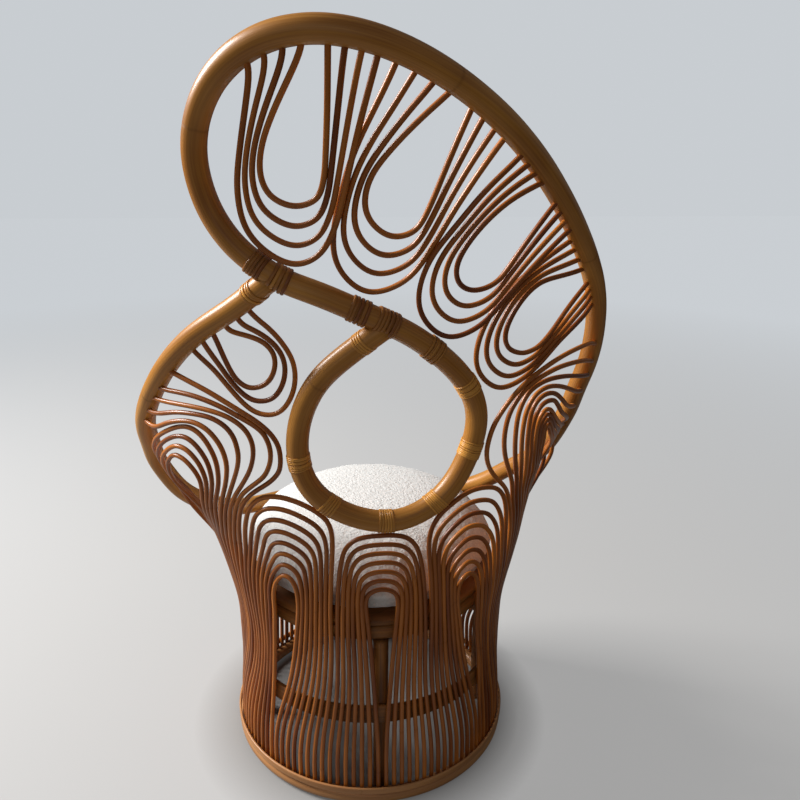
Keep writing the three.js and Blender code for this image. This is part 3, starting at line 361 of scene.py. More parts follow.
# Bindings: node, pole, place, offset along the pole, length, number of strips, how high they
# stand, how far they lean, and how pale their peel is
BINDINGS = [
    ("wrap_arm_joint", "main", (23.6, 1.03), 0.020, 0.026, 5, 0.0028, 0.10, 0.25),
    ("wrap_arm_joint", "main", (23.6, 1.03), -0.017, 0.030, 5, 0.0030, -0.08, 0.3),
    ("wrap_bar_second_nest", "main", (5.2, 0.971), 0, 0.028, 5, 0.0028, 0.06, 0.2),
    ("wrap_ring_joint", "main", (-0.4, 0.952), 0, 0.034, 6, 0.0030, -0.07, 0.25),
    ("wrap_ring_end", "main_start", (3.6, 0.921), 0.003, 0.016, 4, 0.0014, 0.3, 0.75),
    ("wrap_ring_third_nest", "main", (-10.6, 0.905), 0, 0.024, 6, 0.0022, 0.08, 0.4),
    ("wrap_ring_fourth_nest", "main", (-19.2, 0.838), 0, 0.024, 8, 0.0014, 0.05, 0.85),
    ("wrap_ring_right", "main", (-22.7, 0.722), 0, 0.028, 9, 0.0014, 0.06, 0.95),
    ("wrap_ring_right_low", "main", (-15, 0.63), 0, 0.024, 7, 0.0016, 0.14, 0.9),
    ("wrap_ring_bottom", "main", (-1, 0.598), 0, 0.026, 6, 0.0018, 0.02, 0.7),
    ("wrap_ring_left_low", "main", (12.6, 0.632), 0, 0.022, 5, 0.0016, -0.14, 0.8),
    ("wrap_ring_left", "main", (19, 0.712), 0, 0.024, 8, 0.0014, 0.05, 0.85),
    ("wrap_arm_end", "arm", (26.6, 0.994), 0, 0.018, 4, 0.0014, 0.25, 0.75),
]


# Points on the shell and routes along it


def smooth_table(rows, at):
    """Value of a table of pairs at a place, on a smooth line that never overshoots its rows."""
    if at <= rows[0][0]:
        return rows[0][1]
    if at >= rows[-1][0]:
        return rows[-1][1]
    i = next(k for k, row in enumerate(rows) if row[0] > at) - 1
    slopes = [(b[1] - a[1]) / (b[0] - a[0]) for a, b in zip(rows, rows[1:])]
    slopes = [slopes[0], *slopes, slopes[-1]]
    start, end = [
        2 * before * after / (before + after) if before * after > 0 else 0
        for before, after in zip(slopes[i : i + 2], slopes[i + 1 : i + 3])
    ]
    span = rows[i + 1][0] - rows[i][0]
    rise = rows[i + 1][1] - rows[i][1]
    t = (at - rows[i][0]) / span
    a = start * span - rise
    b = rise - end * span
    return rows[i][1] + t * rise + t * (1 - t) * (a * (1 - t) + b * t)


def shell_point(turn, height):
    """Point of the shell at a turn and a height."""
    side = math.sin(math.radians(turn))
    back = math.cos(math.radians(turn))
    rear = smooth_table(LEFT_REACH if side > 0 else RIGHT_REACH, height)
    front = smooth_table(LEFT_FRONT_REACH if side > 0 else RIGHT_FRONT_REACH, height)
    t = min(max((FRONT_BLEND_START - back) / FRONT_BLEND_WIDTH, 0), 1)
    side_reach = rear + t * t * (3 - 2 * t) * (front - rear)
    back_reach = smooth_table(REAR_REACH if back > 0 else FRONT_REACH, height)
    return Vector((DRUM_RADIUS * side_reach * side, DRUM_RADIUS * back_reach * back, height))


def shell_out(turn, height):
    """Direction outwards from the shell."""
    aside = shell_point(turn + OUTWARD_TURN, height) - shell_point(turn - OUTWARD_TURN, height)
    up = shell_point(turn, height + OUTWARD_HEIGHT) - shell_point(turn, height - OUTWARD_HEIGHT)
    return up.cross(aside).normalized()


def curve_points(rows, per_row=12):
    """Centripetal curve through rows of turn, height and layer, flattened to lengths."""
    flat = []
    for turn, height, *layer in rows:
        flat.append(Vector((turn * DEGREE_LENGTH, height, sum(layer) * LAYER_OFFSET)))
    ends = [2 * flat[0] - flat[1]] + flat + [2 * flat[-1] - flat[-2]]
    points = []
    for i in range(len(flat) - 1):
        p0, p1, p2, p3 = ends[i : i + 4]
        pairs = ((p0, p1), (p1, p2), (p2, p3))
        d0, d1, d2 = [max((b - a).length, 1e-9) ** 0.5 for a, b in pairs]
        m1 = ((p1 - p0) / d0 - (p2 - p0) / (d0 + d1) + (p2 - p1) / d1) * d1
        m2 = ((p2 - p1) / d1 - (p3 - p1) / (d1 + d2) + (p3 - p2) / d2) * d1
        for k in range(per_row):
            t = k / per_row
            a, b = 2 * t**3 - 3 * t**2 + 1, t**3 - 2 * t**2 + t
            c, d = 3 * t**2 - 2 * t**3, t**3 - t**2
            points.append(p1 * a + m1 * b + p2 * c + m2 * d)
    return points + [flat[-1]]


def eased(points, rounds):
    """The same points with small corners rounded off; both ends stay."""
    for _ in range(rounds):
        inner = [(a + 2 * b + c) / 4 for a, b, c in zip(points, points[1:], points[2:])]
        points = [points[0], *inner, points[-1]]
    return points


def route(rows, steps=CANE_STEPS, easing=CANE_EASING, wander=0.0, seed=0):
    """Frames along a route, closer together where it bends: point, and the directions along
    the route, outwards and sideways."""
    fine = []
    outs = []
    for flat in curve_points(rows):
        turn, height = flat.x / DEGREE_LENGTH, flat.y
        outs.append(shell_out(turn, height))
        fine.append(shell_point(turn, height) + outs[-1] * flat.z)
    fine = eased(fine, easing)
    longest, bend = steps
    shift = Vector((seed * WANDER_SHIFT_X, seed * WANDER_SHIFT_Y, 0))
    cost = [0.0]
    for i in range(1, len(fine)):
        before = fine[i] - fine[i - 1]
        after = fine[min(i + 1, len(fine) - 1)] - fine[i]
        angle = before.angle(after, 0) if after.length > 0 else 0
        cost.append(cost[-1] + before.length / longest + angle / bend)
    count = max(4, math.ceil(cost[-1]))
    places, i = [], 0
    for k in range(count + 1):
        target = cost[-1] * k / count
        while i < len(cost) - 2 and cost[i + 1] < target:
            i += 1
        share = (target - cost[i]) / max(cost[i + 1] - cost[i], 1e-9)
        share = min(max(share, 0), 1)
        point = fine[i].lerp(fine[i + 1], share)
        out = outs[i].lerp(outs[i + 1], share).normalized()
        if wander:
            fade = math.sin(math.pi * k / count)
            drift = noise.noise_vector(point * WANDER_SCALE + shift)
            point = point + drift * wander * fade
        places.append((point, out))
    return frames_of(places)


def frames_of(places):
    """Point and directions along, outwards and sideways, from points and rough outward ones."""
    frames = []
    for i, (point, out) in enumerate(places):
        after = places[min(i + 1, len(places) - 1)][0]
        before = places[max(i - 1, 0)][0]
        tangent = (after - before).normalized()
        out = (out - tangent * out.dot(tangent)).normalized()
        frames.append((point, tangent, out, tangent.cross(out)))
    return frames


# Meshes

# Distances from the middle of a section to the skin, for the finish only
TURNED_SKIN = 0.014
STRIP_SKIN = 0.004
# A strip of a binding: points across it, how full its section is, and where round the pole it
# leans most
STRIP_ACROSS = 7
STRIP_FULLNESS = 0.6
STRIP_LEAD = 0.6
STRIP_SIDES = 28
# Steps round a corner of a band and round a whole section
CORNER_STEPS = 3
ROUND_STEPS = 20


def around(count):
    """Cosine, sine and angle of points round a circle."""
    angles = [2 * math.pi * i / count for i in range(count)]
    return [(math.cos(angle), math.sin(angle), angle) for angle in angles]


class Form:
    """Collects rods and bands for one piece. Each point keeps its place on the skin (round
    the rod and along it) and the tone of its cane for the finish."""

    def __init__(self):
        self.points = []
        self.faces = []
        self.skin = []
        self.tones = []

    def point(self, place, skin, tone):
        self.points.append(place)
        self.skin.append(skin)
        self.tones.append(tone)

    def loft(self, base, count, size, closed):
        """Faces between rings of points, and from the last ring to the first if closed."""
        for i in range(count if closed else count - 1):
            here, there = base + i * size, base + (i + 1) % count * size
            for j in range(size):
                k = (j + 1) % size
                self.faces.append((here + j, there + j, there + k, here + k))

    def rod(self, frames, radius_at, sides, tone, along=0.0):
        """A round rod along frames. Its radius is asked for by share and length along it."""
        base = len(self.points)
        circle = around(sides)
        for i, (p, _, out, side) in enumerate(frames):
            if i:
                along += (p - frames[i - 1][0]).length
            radius = radius_at(i / (len(frames) - 1), along)
            for c, s, _ in circle:
                place = p + side * (radius * c) + out * (radius * s)
                self.point(place, (radius * c, radius * s, along), tone)
        self.loft(base, len(frames), sides, closed=False)
        end = base + (len(frames) - 1) * sides
        self.faces.append(tuple(base + j for j in range(sides)))
        self.faces.append(tuple(end + j for j in reversed(range(sides))))

    def turned(self, profile, sides, tone):
        """A closed profile of radius and height swept round the middle."""
        base = len(self.points)
        lengths = [0.0]
        for (r0, z0), (r1, z1) in zip(profile, profile[1:]):
            lengths.append(lengths[-1] + math.hypot(r1 - r0, z1 - z0))
        turns = [2 * math.pi * length / lengths[-1] for length in lengths]
        for c, s, angle in around(sides):
            for (radius, height), turn in zip(profile, turns):
                place = Vector((radius * c, radius * s, height))
                skin = (TURNED_SKIN * math.cos(turn), TURNED_SKIN * math.sin(turn), radius * angle)
                self.point(place, skin, tone)
        self.loft(base, sides, len(profile), closed=True)

    def strip(self, frame, radius, width, height, lean, tone):
        """One turn of a binding: a half-round strip round a pole, leaning along it."""
        base = len(self.points)
        p, tangent, out, side = frame
        for c, s, angle in around(STRIP_SIDES):
            shift = tangent * (lean * width * math.sin(angle + STRIP_LEAD))
            outward = side * c + out * s
            for j in range(STRIP_ACROSS):
                u = math.pi * j / (STRIP_ACROSS - 1)
                place = p + shift - tangent * (width / 2 * math.cos(u))
                place = place + outward * (radius + height * (math.sin(u) ** STRIP_FULLNESS))
                skin = (STRIP_SKIN * math.cos(u), STRIP_SKIN * math.sin(u), radius * angle)
                self.point(place, skin, tone)
        self.loft(base, STRIP_SIDES, STRIP_ACROSS, closed=True)

    def build(self, node, ending, slot, finish=None):
        """Makes the piece that stands for a node of the frame."""
        name = f"{node}_{ending}"
        mesh = bpy.data.meshes.new(name)
        mesh.from_pydata([tuple(p) for p in self.points], [], self.faces)
        mesh.attributes.new("skin", "FLOAT_VECTOR", "POINT")
        mesh.attributes.new("tone", "FLOAT", "POINT")
        mesh.attributes["skin"].data.foreach_set("vector", [v for s in self.skin for v in s])
        mesh.attributes["tone"].data.foreach_set("value", self.tones)
        mesh.polygons.foreach_set("use_smooth", [True] * len(mesh.polygons))
        mesh.materials.append(finish or rattan(slot))
        mesh.update()
        piece = bpy.data.objects.new(name, mesh)
        bpy.context.scene.collection.objects.link(piece)
        face_outwards(piece)
        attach(piece, "root")
        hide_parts(node)
        return piece


def face_outwards(piece):
    """Turns all faces of a mesh the right way round."""
    mesh = bmesh.new()
    mesh.from_mesh(piece.data)
    bmesh.ops.recalc_face_normals(mesh, faces=mesh.faces)
    mesh.to_mesh(piece.data)
    mesh.free()


def round_section(radius, height, thick):
    """A circle of points, at a distance from the middle of the chair."""
    size = thick / 2
    return [(radius + size * c, height + size * s) for c, s, _ in around(ROUND_STEPS)]


def band_section(inner, outer, bottom, top, edge):
    """A flat lath with rounded corners."""
    corners = [(outer - edge, bottom + edge, -0.5), (outer - edge, top - edge, 0),
               (inner + edge, top - edge, 0.5), (inner + edge, bottom + edge, 1)]
    section = []
    for x, z, start in corners:
        for k in range(CORNER_STEPS + 1):
            angle = math.pi * (start + k / (2 * CORNER_STEPS))
            section.append((x + edge * math.cos(angle), z + edge * math.sin(angle)))
    return section


# Routes of the canes


def between(inner, outer, share):
    """A route at a share of the way from one route to another."""
    return [[a + share * (b - a) for a, b in zip(p, q)] for p, q in zip(inner, outer)]


# The feet of the canes are counted from the middle of the rear to the middle of the front
RAY_FIRST_FOOT = REAR_CENTRE[0] + 2 * REAR_LEFT[0]
LEFT_ARM_FIRST_FOOT = RAY_FIRST_FOOT + len(LEFT_RAYS)
RIGHT_ARM_FIRST_FOOT = RAY_FIRST_FOOT + len(RIGHT_RAYS)
FOOT_COUNT = {
    "left": LEFT_ARM_FIRST_FOOT + 2 * LEFT_ARM_ARCHES[0] + FRONT_BUNDLES * FRONT_COUNT,
    "right": RIGHT_ARM_FIRST_FOOT + 2 * RIGHT_ARM_ARCHES[0] + FRONT_BUNDLES * FRONT_COUNT,
}
FRONT_BUNDLE_TURN = (FRONT_COUNT - 1) * FRONT_LEG_TURN


def foot_rows(index, side):
    """The lowest stretch of a cane, from the floor up."""
    turn = (index + 0.5) * 180 / FOOT_COUNT[side]
    return [[turn, FOOT_HEIGHT], [turn, LOW_HEIGHT]]


def arch(index, inner_foot, rows, side):
    """A route from foot to foot, over an arch that is counted from the innermost one."""
    rows = [*foot_rows(inner_foot - index, side), *rows,
            *reversed(foot_rows(inner_foot + 1 + index, side))]
    return mirrored(rows) if side == "right" else rows


def side_nest(arches, first_foot, side):
    """Nested arches on one side, from the innermost to the outermost."""
    count, inner, outer = arches
    inner_foot = first_foot + count - 1
    return [arch(k, inner_foot, between(inner, outer, k / (count - 1)), side) for k in range(count)]


def centre_nest(arches):
    """Nested arches over the middle of the rear."""
    count, inner, outer = arches
    return [
        [*foot_rows(k, "left"), *between(inner, outer, k / (count - 1)),
         *mirrored(reversed(foot_rows(k, "right")))]
        for k in range(count)
    ]


def front_rows(k, middle, half_inner):
    """An arch of the front, counted from the innermost one."""
    half = half_inner + k * FRONT_LEG_TURN
    top = FRONT_INNER_TOP + k / (FRONT_COUNT - 1) * (FRONT_OUTER_TOP - FRONT_INNER_TOP)
    rise = top - FRONT_WAIST
    return [[middle - wide * half, FRONT_WAIST + high * rise] for wide, high in FRONT_ARCH]


def front_gap(side):
    """Turn between the innermost legs of a nest of the front."""
    free = 180 - FRONT_START[side] - FRONT_BUNDLES * FRONT_BUNDLE_TURN - 2 * FRONT_LEG_TURN
    return free / FRONT_GAPS


def front_nests():
    """Two nests on each side, and one over the middle of the front."""
    routes = []
    for side in ("left", "right"):
        gap = front_gap(side)
        for number in (0, 1):
            start = FRONT_START[side] + number * (2 * FRONT_BUNDLE_TURN + gap + FRONT_LEG_TURN)
            middle = start + FRONT_BUNDLE_TURN + gap / 2
            inner_foot = FOOT_COUNT[side] - (FRONT_BUNDLES - 1 - 2 * number) * FRONT_COUNT - 1
            routes += [arch(k, inner_foot, front_rows(k, middle, gap / 2), side)
                       for k in range(FRONT_COUNT)]
    left, right = front_gap("left") / 2, front_gap("right") / 2
    middle = 180 + (right - left) / 2
    for k in range(FRONT_COUNT):
        far_foot = reversed(foot_rows(FOOT_COUNT["right"] - 1 - k, "right"))
        routes.append([*foot_rows(FOOT_COUNT["left"] - 1 - k, "left"),
                       *front_rows(k, middle, (left + right) / 2),
                       *([360 - turn, height] for turn, height in far_foot)])
    return routes


def ray_layer(height):
    """Layer of a single cane: on the shell below, one step outside it above."""
    return min(max((height - RAY_LAYER_START) / (RAY_LAYER_FULL - RAY_LAYER_START), 0), 1)


def ray_routes(rays, bundle, side):
    """Single canes from an arm pole to the floor."""
    routes = []
    for i, upper in enumerate(rays):
        lower = [[turn + i * step, height] for turn, step, height in bundle]
        low = [*lower, *reversed(foot_rows(RAY_FIRST_FOOT + i, side))]
        rows = [*upper, *(mirrored(low) if side == "right" else low)]
        routes.append([[turn, height, ray_layer(height)] for turn, height in rows])
    return routes


def on_pole(pole, row, layer):
    """The row of a pole's route nearest to a row of a cane's."""
    target = shell_point(*row)
    places = [(flat.x / DEGREE_LENGTH, flat.y) for flat in curve_points(pole, 16)]
    turn, height = min(places, key=lambda place: (shell_point(*place) - target).length)
    return [turn, height, layer]


def nest_routes(canes, count, pole):
    """Bent canes that begin and end on a pole."""
    layer, inner, outer = canes
    routes = []
    for i in range(count):
        rows = between(inner, outer, i / (count - 1))
        layered = [[*row, layer] for row in rows]
        routes.append([on_pole(pole, rows[0], layer), *layered, on_pole(pole, rows[-1], layer)])
    return routes


# Finishes


def overloaded(operation, reflected=False):
    """An operator of Socket that adds a Math node."""

    def act(self, other):
        first, second = (other, self) if reflected else (self, other)
        return self._math(operation, first, second)

    return act


class Socket:
    """A value in a shader tree. Expressions of sockets and numbers add Math nodes."""

    def __init__(self, shading, source):
        self.shading = shading
        self.source = source

    def _math(self, operation, *values, clamp=False):
        settings = {"operation": operation, "use_clamp": clamp}
        return self.shading.node("ShaderNodeMath", settings, dict(enumerate(values)))

    __add__ = overloaded("ADD")
    __radd__ = overloaded("ADD", reflected=True)
    __sub__ = overloaded("SUBTRACT")
    __rsub__ = overloaded("SUBTRACT", reflected=True)
    __mul__ = overloaded("MULTIPLY")
    __rmul__ = overloaded("MULTIPLY", reflected=True)
    __truediv__ = overloaded("DIVIDE")
    __rtruediv__ = overloaded("DIVIDE", reflected=True)

    def __abs__(self):
        return self._math("ABSOLUTE", self)

    def fraction(self):
        return self._math("FRACT", self)

    def clamped(self):
        return self._math("ADD", self, 0.0, clamp=True)


class Shading:
    """The node tree of a material or of the world."""

    def __init__(self, tree):
        self.tree = tree

    def feed(self, node, values):
        """Gives sockets of a node their values or links."""
        for key, value in values.items():
            if isinstance(value, Socket):
                self.tree.links.new(value.source, node.inputs[key])
            else:
                node.inputs[key].default_value = value

    def node(self, kind, settings, values, output=0):
        """Adds a node with its settings, then the values or links of its sockets."""
        node = self.tree.nodes.new(kind)
        for key, value in settings.items():
            setattr(node, key, value)
        self.feed(node, values)
        return Socket(self, node.outputs[output])

    def added(self, first, second):
        """The sum of two vectors."""
        return self.node("ShaderNodeVectorMath", {"operation": "ADD"}, {0: first, 1: second})

    def noise(self, vector, cycles, detail, roughness=0.5):
        """Noise over a vector, with its cycles per metre in each direction."""
        stretched = self.node("ShaderNodeMapping", {}, {"Vector": vector, "Scale": cycles})
        values = {"Vector": stretched, "Scale": 1.0, "Detail": detail, "Roughness": roughness}
        return self.node("ShaderNodeTexNoise", {}, values)

    def mix(self, share, first, second):
        """A mix of two colours, each a socket or three numbers."""
        first, second = (c if isinstance(c, Socket) else (*c, 1) for c in (first, second))
        values = {MIX_SHARE: share, MIX_FIRST: first, MIX_SECOND: second}
        return self.node("ShaderNodeMix", {"data_type": "RGBA"}, values, MIX_RESULT)


class Finish(Shading):
    """A material under construction, with one shader."""

    def __init__(self, name, **same_all_over):
        self.material = bpy.data.materials.new(name)
        self.material.use_nodes = True
        super().__init__(self.material.node_tree)
        self.shader = self.tree.nodes["Principled BSDF"]
        self.set(Specular_IOR_Level=SPECULAR_LEVEL, **same_all_over)

    def set(self, **values):
        """Gives sockets of the shader their values or links."""
        self.feed(self.shader, {key.replace("_", " "): value for key, value in values.items()})

    def bump(self, height, distance, strength):
        """Feeds the normal from a height."""
        values = {"Height": height, "Distance": distance, "Strength": strength}
        self.set(Normal=self.node("ShaderNodeBump", {}, values))


def darker(colour, share):
    """The same colour with a share of its light."""
    return tuple(c * share for c in colour)


# Places of sockets among those of their node
MIX_SHARE = 0
MIX_FIRST = 6
MIX_SECOND = 7
MIX_RESULT = 2
ATTRIBUTE_VECTOR = 1
ATTRIBUTE_NUMBER = 2
SEPARATE_Z = 2
OBJECT_PLACE = 3
VECTOR_LENGTH = 1

SPECULAR_LEVEL = 0.3
BLACK = (0, 0, 0)

# Rattan: what the tone of a cane moves its pattern by, cycles per metre round and along the
# cane, half the lengths of a leaf joint and of the shade round it, how far the tone and slow
# noise move the joints, and how much of each part shows in the colour, gloss and bumps
RATTAN_SHIFT = {"X": 3.1, "Y": 1.7, "Z": 5.3}
FIBRES_ALONG = 5.0
BLOTCHES = (22.0, 22.0, 5.0)
WOBBLE = (40.0, 40.0, 3.0)
JOINT_REACH = 0.0035
SHADE_REACH = 0.022
JOINT_SHIFT = 7.0
JOINT_WOBBLE = 0.02
FIBRE_SHARE = 1.2
BLOTCH_SHARE = 1.6
JOINT_SHARE = 0.4
SHADE_SHARE = 0.22
JOINT_DARKNESS = 0.35
SHADE_DARKNESS = 0.7
FIBRE_ROUGHNESS = 0.24
JOINT_ROUGHNESS = 0.2
COAT_ROUGHNESS = 0.22
FIBRE_HEIGHT = 0.35
BLOTCH_HEIGHT = 0.6
RATTAN_RELIEF = 0.0005

# The rattan finish of each slot: name, settings that hold its colours, roughness, coat, streaks
# per metre round it, distance between leaf joints, their depth, spread of the tones, contrast
RATTAN_FINISHES = {
    "pole": ("pole skin", "chair_poles", 0.4, 0.2, 380.0, 0.43, 0.6, 0.3, 0.8),
    "cane": ("cane skin", "chair_canes", 0.36, 0.28, 900.0, 0.33, 0.35, 0.5, 1.0),
    "wrap": ("peel", "chair_bindings", 0.4, 0.2, 700.0, 0.9, 0.3, 1.0, 0.7),
    "base": ("base wood", "chair_base", 0.42, 0.2, 260.0, 0.7, 0.3, 0.2, 1.0),
    "inner": ("inner wood", "chair_seat", 0.5, 0.1, 300.0, 0.35, 0.6, 0.4, 1.0),
}


def rattan(slot):
    """A rattan finish: streaks along the stem, slow blotches and a ring at each leaf joint."""
    name, group, roughness, coat, streaks, every, depth, spread, contrast = RATTAN_FINISHES[slot]
    ready = bpy.data.materials.get(name)
    if ready:
        return ready
    colours = getattr(bpy.context.scene, group)
    dark = colours.dark
    f = Finish(name, Coat_Weight=coat, Coat_Roughness=COAT_ROUGHNESS)
    skin = f.node("ShaderNodeAttribute", {"attribute_name": "skin"}, {}, ATTRIBUTE_VECTOR)
    tone = f.node("ShaderNodeAttribute", {"attribute_name": "tone"}, {}, ATTRIBUTE_NUMBER)
    shift = {axis: tone * size for axis, size in RATTAN_SHIFT.items()}
    place = f.added(skin, f.node("ShaderNodeCombineXYZ", {}, shift))
    fibres = f.noise(place, (streaks, streaks, FIBRES_ALONG), 4.0, 0.6)
    blotches = f.noise(place, BLOTCHES, 2.0)
    wobble = f.noise(place, WOBBLE, 1.0)
    along = f.node("ShaderNodeSeparateXYZ", {}, {"Vector": skin}, SEPARATE_Z)
    phase = (along / every + tone * JOINT_SHIFT + wobble * JOINT_WOBBLE).fraction()
    far = abs(phase - 0.5) * every
    joint = (1.0 - far / JOINT_REACH).clamped()
    shade = (1.0 - far / SHADE_REACH).clamped()
    mottle = (fibres - 0.5) * (FIBRE_SHARE * contrast)
    mottle = mottle + (blotches - 0.5) * (BLOTCH_SHARE * contrast)
    amount = mottle + (tone - 0.5) * spread + 0.5
    colour = f.mix(amount.clamped(), dark, colours.light)
    colour = f.mix(shade * (SHADE_SHARE * depth), colour, darker(dark, SHADE_DARKNESS))
    colour = f.mix(joint * (JOINT_SHARE * depth), colour, darker(dark, JOINT_DARKNESS))
    rough = (fibres - 0.5) * FIBRE_ROUGHNESS + roughness + joint * JOINT_ROUGHNESS
    f.set(Base_Color=colour, Roughness=rough)
    f.bump(fibres * FIBRE_HEIGHT + blotches * BLOTCH_HEIGHT - joint * depth, RATTAN_RELIEF, 0.6)
    return f.material


# Looped pile: cycles per metre of the curl, loops, knots and soft dents, how far the curl
# pushes the loops aside and up, the shares of the painted shade between the loops and in the
# dents, and the bumps
CURL = (160.0, 160.0, 160.0)
LOOPS = 210.0
KNOTS = 95.0
SOFT_DENTS = (26.0, 26.0, 26.0)
CURL_PUSH = 0.012
CURL_LIFT = 0.008
LOOP_CONTRAST = 1.3
LOOP_START = 0.2
DENT_CONTRAST = 2.0
DENT_START = 0.55
DENT_SHADE_SHARE = 0.1
LOOP_HEIGHT = 0.7
KNOT_HEIGHT = 0.5
DENT_HEIGHT = 0.3
PILE_RELIEF = 0.0022


def looped_pile(name, light, shade):
    """Cloth of small curled loops, with painted shade between the loops and in soft dents."""
    f = Finish(name, Roughness=0.92, Coat_Roughness=0.1, Sheen_Weight=0.35)
    place = f.node("ShaderNodeTexCoord", {}, {}, OBJECT_PLACE)
    curl = f.noise(place, CURL, 2.0)
    push = {"X": (curl - 0.5) * CURL_PUSH, "Y": (0.5 - curl) * CURL_PUSH, "Z": curl * CURL_LIFT}
    curled = f.added(place, f.node("ShaderNodeCombineXYZ", {}, push))
    loops = f.node("ShaderNodeTexVoronoi", {"feature": "SMOOTH_F1"},
                   {"Vector": curled, "Scale": LOOPS, "Smoothness": 0.4})
    knots = f.node("ShaderNodeTexVoronoi", {"feature": "F1"}, {"Vector": curled, "Scale": KNOTS})
    soft = f.noise(place, SOFT_DENTS, 3.0)
    # Painted shade: the cloth darkens towards the shade colour between the loops
    colour = f.mix((loops * LOOP_CONTRAST - LOOP_START).clamped(), light, shade)
    # Painted shade in the soft dents, in the same shade colour as between the loops
    dent_shade = ((soft - DENT_START) * DENT_CONTRAST).clamped()
    f.set(Base_Color=f.mix(dent_shade * DENT_SHADE_SHARE, colour, shade))
    height = (1.0 - loops) * LOOP_HEIGHT + (1.0 - knots) * KNOT_HEIGHT + soft * DENT_HEIGHT
    f.bump(height, PILE_RELIEF, 0.9)
    return f.material


# Distances on the floor from the middle of the chair: the painted contact shadow round the
# drum, and the fade into the backdrop
PAINTED_SHADOW_RADIUS = 0.25
PAINTED_SHADOW_EDGE = 0.14
FADE_FROM = 0.9
FADE_LENGTH = 3.6


def plain_floor(name, colour, lift, far_colour):
    """A pale floor. The camera alone sees it brighter, fading into the backdrop far away. Inside
    the drum it shows only the lamps' light, and just round the drum the lift fades in as a
    painted contact shadow."""
    f = Finish(name, Roughness=0.85, Coat_Roughness=0.1, Emission_Strength=1)
    place = f.node("ShaderNodeTexCoord", {}, {}, OBJECT_PLACE)
    distance = f.node("ShaderNodeVectorMath", {"operation": "LENGTH"}, {0: place}, VECTOR_LENGTH)
    # No lift inside the drum; round it the lift fades in, a painted contact shadow
    outside = ((distance - PAINTED_SHADOW_RADIUS) / PAINTED_SHADOW_EDGE).clamped()
    far = ((distance - FADE_FROM) / FADE_LENGTH).clamped()
    seen = f.node("ShaderNodeLightPath", {}, {})
    lifted = f.mix(outside, BLACK, f.mix(far, (lift, lift, lift), far_colour))
    f.set(Base_Color=f.mix(far, colour, BLACK), Emission_Color=f.mix(seen, BLACK, lifted))
    return f.material


# Sizes and colours that a user may change


def number(name, description, default, **rest):
    return bpy.props.FloatProperty(name=name, description=description, default=default, **rest)


def length(name, description, default):
    return number(name, description, default, min=0.001, unit="LENGTH")


def colour(name, description, default):
    return bpy.props.FloatVectorProperty(name=name, description=description, default=default,
                                         subtype="COLOR", size=3, min=0, max=1)


class ChairPoles(bpy.types.PropertyGroup):
    diameter: length("Pole", "Diameter of the main pole at its thick end", 0.038)
    taper: number("Taper", "Thin end against the thick end", 0.96, subtype="FACTOR")
    light: colour("Light skin", "Colour of the pole where its skin is pale", (0.67, 0.31, 0.06))
    dark: colour("Dark skin", "Colour of its darker streaks", (0.26, 0.08, 0.008))


class ChairCanes(bpy.types.PropertyGroup):
    diameter: length("Cane", "Diameter of a cane", 0.0088)
    light: colour("Light skin", "Colour of a pale cane", (0.57, 0.18, 0.022))
    dark: colour("Dark skin", "Colour of a dark cane", (0.165, 0.033, 0.003))


class ChairBindings(bpy.types.PropertyGroup):
    light: colour("Light peel", "Colour of the pale peel of the thin bindings", (0.74, 0.34, 0.06))
    dark: colour("Dark peel", "Colour of the thick strips", (0.24, 0.075, 0.016))


class ChairBase(bpy.types.PropertyGroup):
    light: colour("Light wood", "Colour of the base ring", (0.56, 0.27, 0.1))
    dark: colour("Dark wood", "Colour of its grain", (0.36, 0.15, 0.05))


class ChairSeat(bpy.types.PropertyGroup):
    light: colour("Light wood", "Colour of the frame inside the drum", (0.5, 0.2, 0.045))
    dark: colour("Dark wood", "Colour of its grain", (0.1, 0.036, 0.012))


class ChairCushion(bpy.types.PropertyGroup):
    crown: length("Crown", "Height of the middle of the cushion over its edge", 0.038)
    swell: length("Swell", "How far the cover may swell when it settles", 0.009)
    # The cloth's own colour on the tops of the loops, and the painted shade between them
    light: colour("Loops", "Colour of the tops of the loops", (0.82, 0.81, 0.785))
    shade: colour("Between loops", "Colour between the loops", (0.7, 0.68, 0.64))


class ChairStage(bpy.types.PropertyGroup):
    floor: colour("Floor", "Colour of the floor", (0.25, 0.243, 0.234))
    lift: number("Floor lift", "Brightness added to the floor", 0.33)
    backdrop: colour("Backdrop", "Colour behind the chair", (0.58, 0.61, 0.64))
    key: number("Key light", "Power of the key light", 305, unit="POWER")
    fill: number("Fill light", "Power of the fill light", 5, unit="POWER")
    sky: number("Sky", "Strength of the light from all round", 0.15)


GROUPS = {
    "chair_poles": ChairPoles,
    "chair_canes": ChairCanes,
    "chair_bindings": ChairBindings,
    "chair_base": ChairBase,
    "chair_seat": ChairSeat,
    "chair_cushion": ChairCushion,
    "chair_stage": ChairStage,
}


# Pieces

POLE_SIDES = 28
CANE_SIDES = 10
POST_SIDES = 24
POST_STEPS = 24
BASE_SIDES = 144
SEAT_SIDES = 128
DECK_SIDES = 96
# How much the poles swell along their length, and the radians per metre of the swells
MAIN_SWELL = 0.012
MAIN_WAVE = 19
MAIN_SLOW_WAVE = 7.3
ARM_SWELL = 0.01
ARM_WAVE = 17
# Where the pattern of the left arm pole starts
ARM_SKIN_START = 0.13
# Tones of the pieces that aren't cane or peel, from dark to pale
TONES = {
    "main_frame_pole": 0.45, "left_arm_pole": 0.62, "base_ring": 0.5, "base_trim": 0.7,
    "mid_hoop": 0.4, "seat_ring": 0.6, "seat_deck": 0.5, "post_1": 0.2, "post_2": 0.4,
    "post_3": 0.6, "post_4": 0.8, "cushion": 0.5,
}
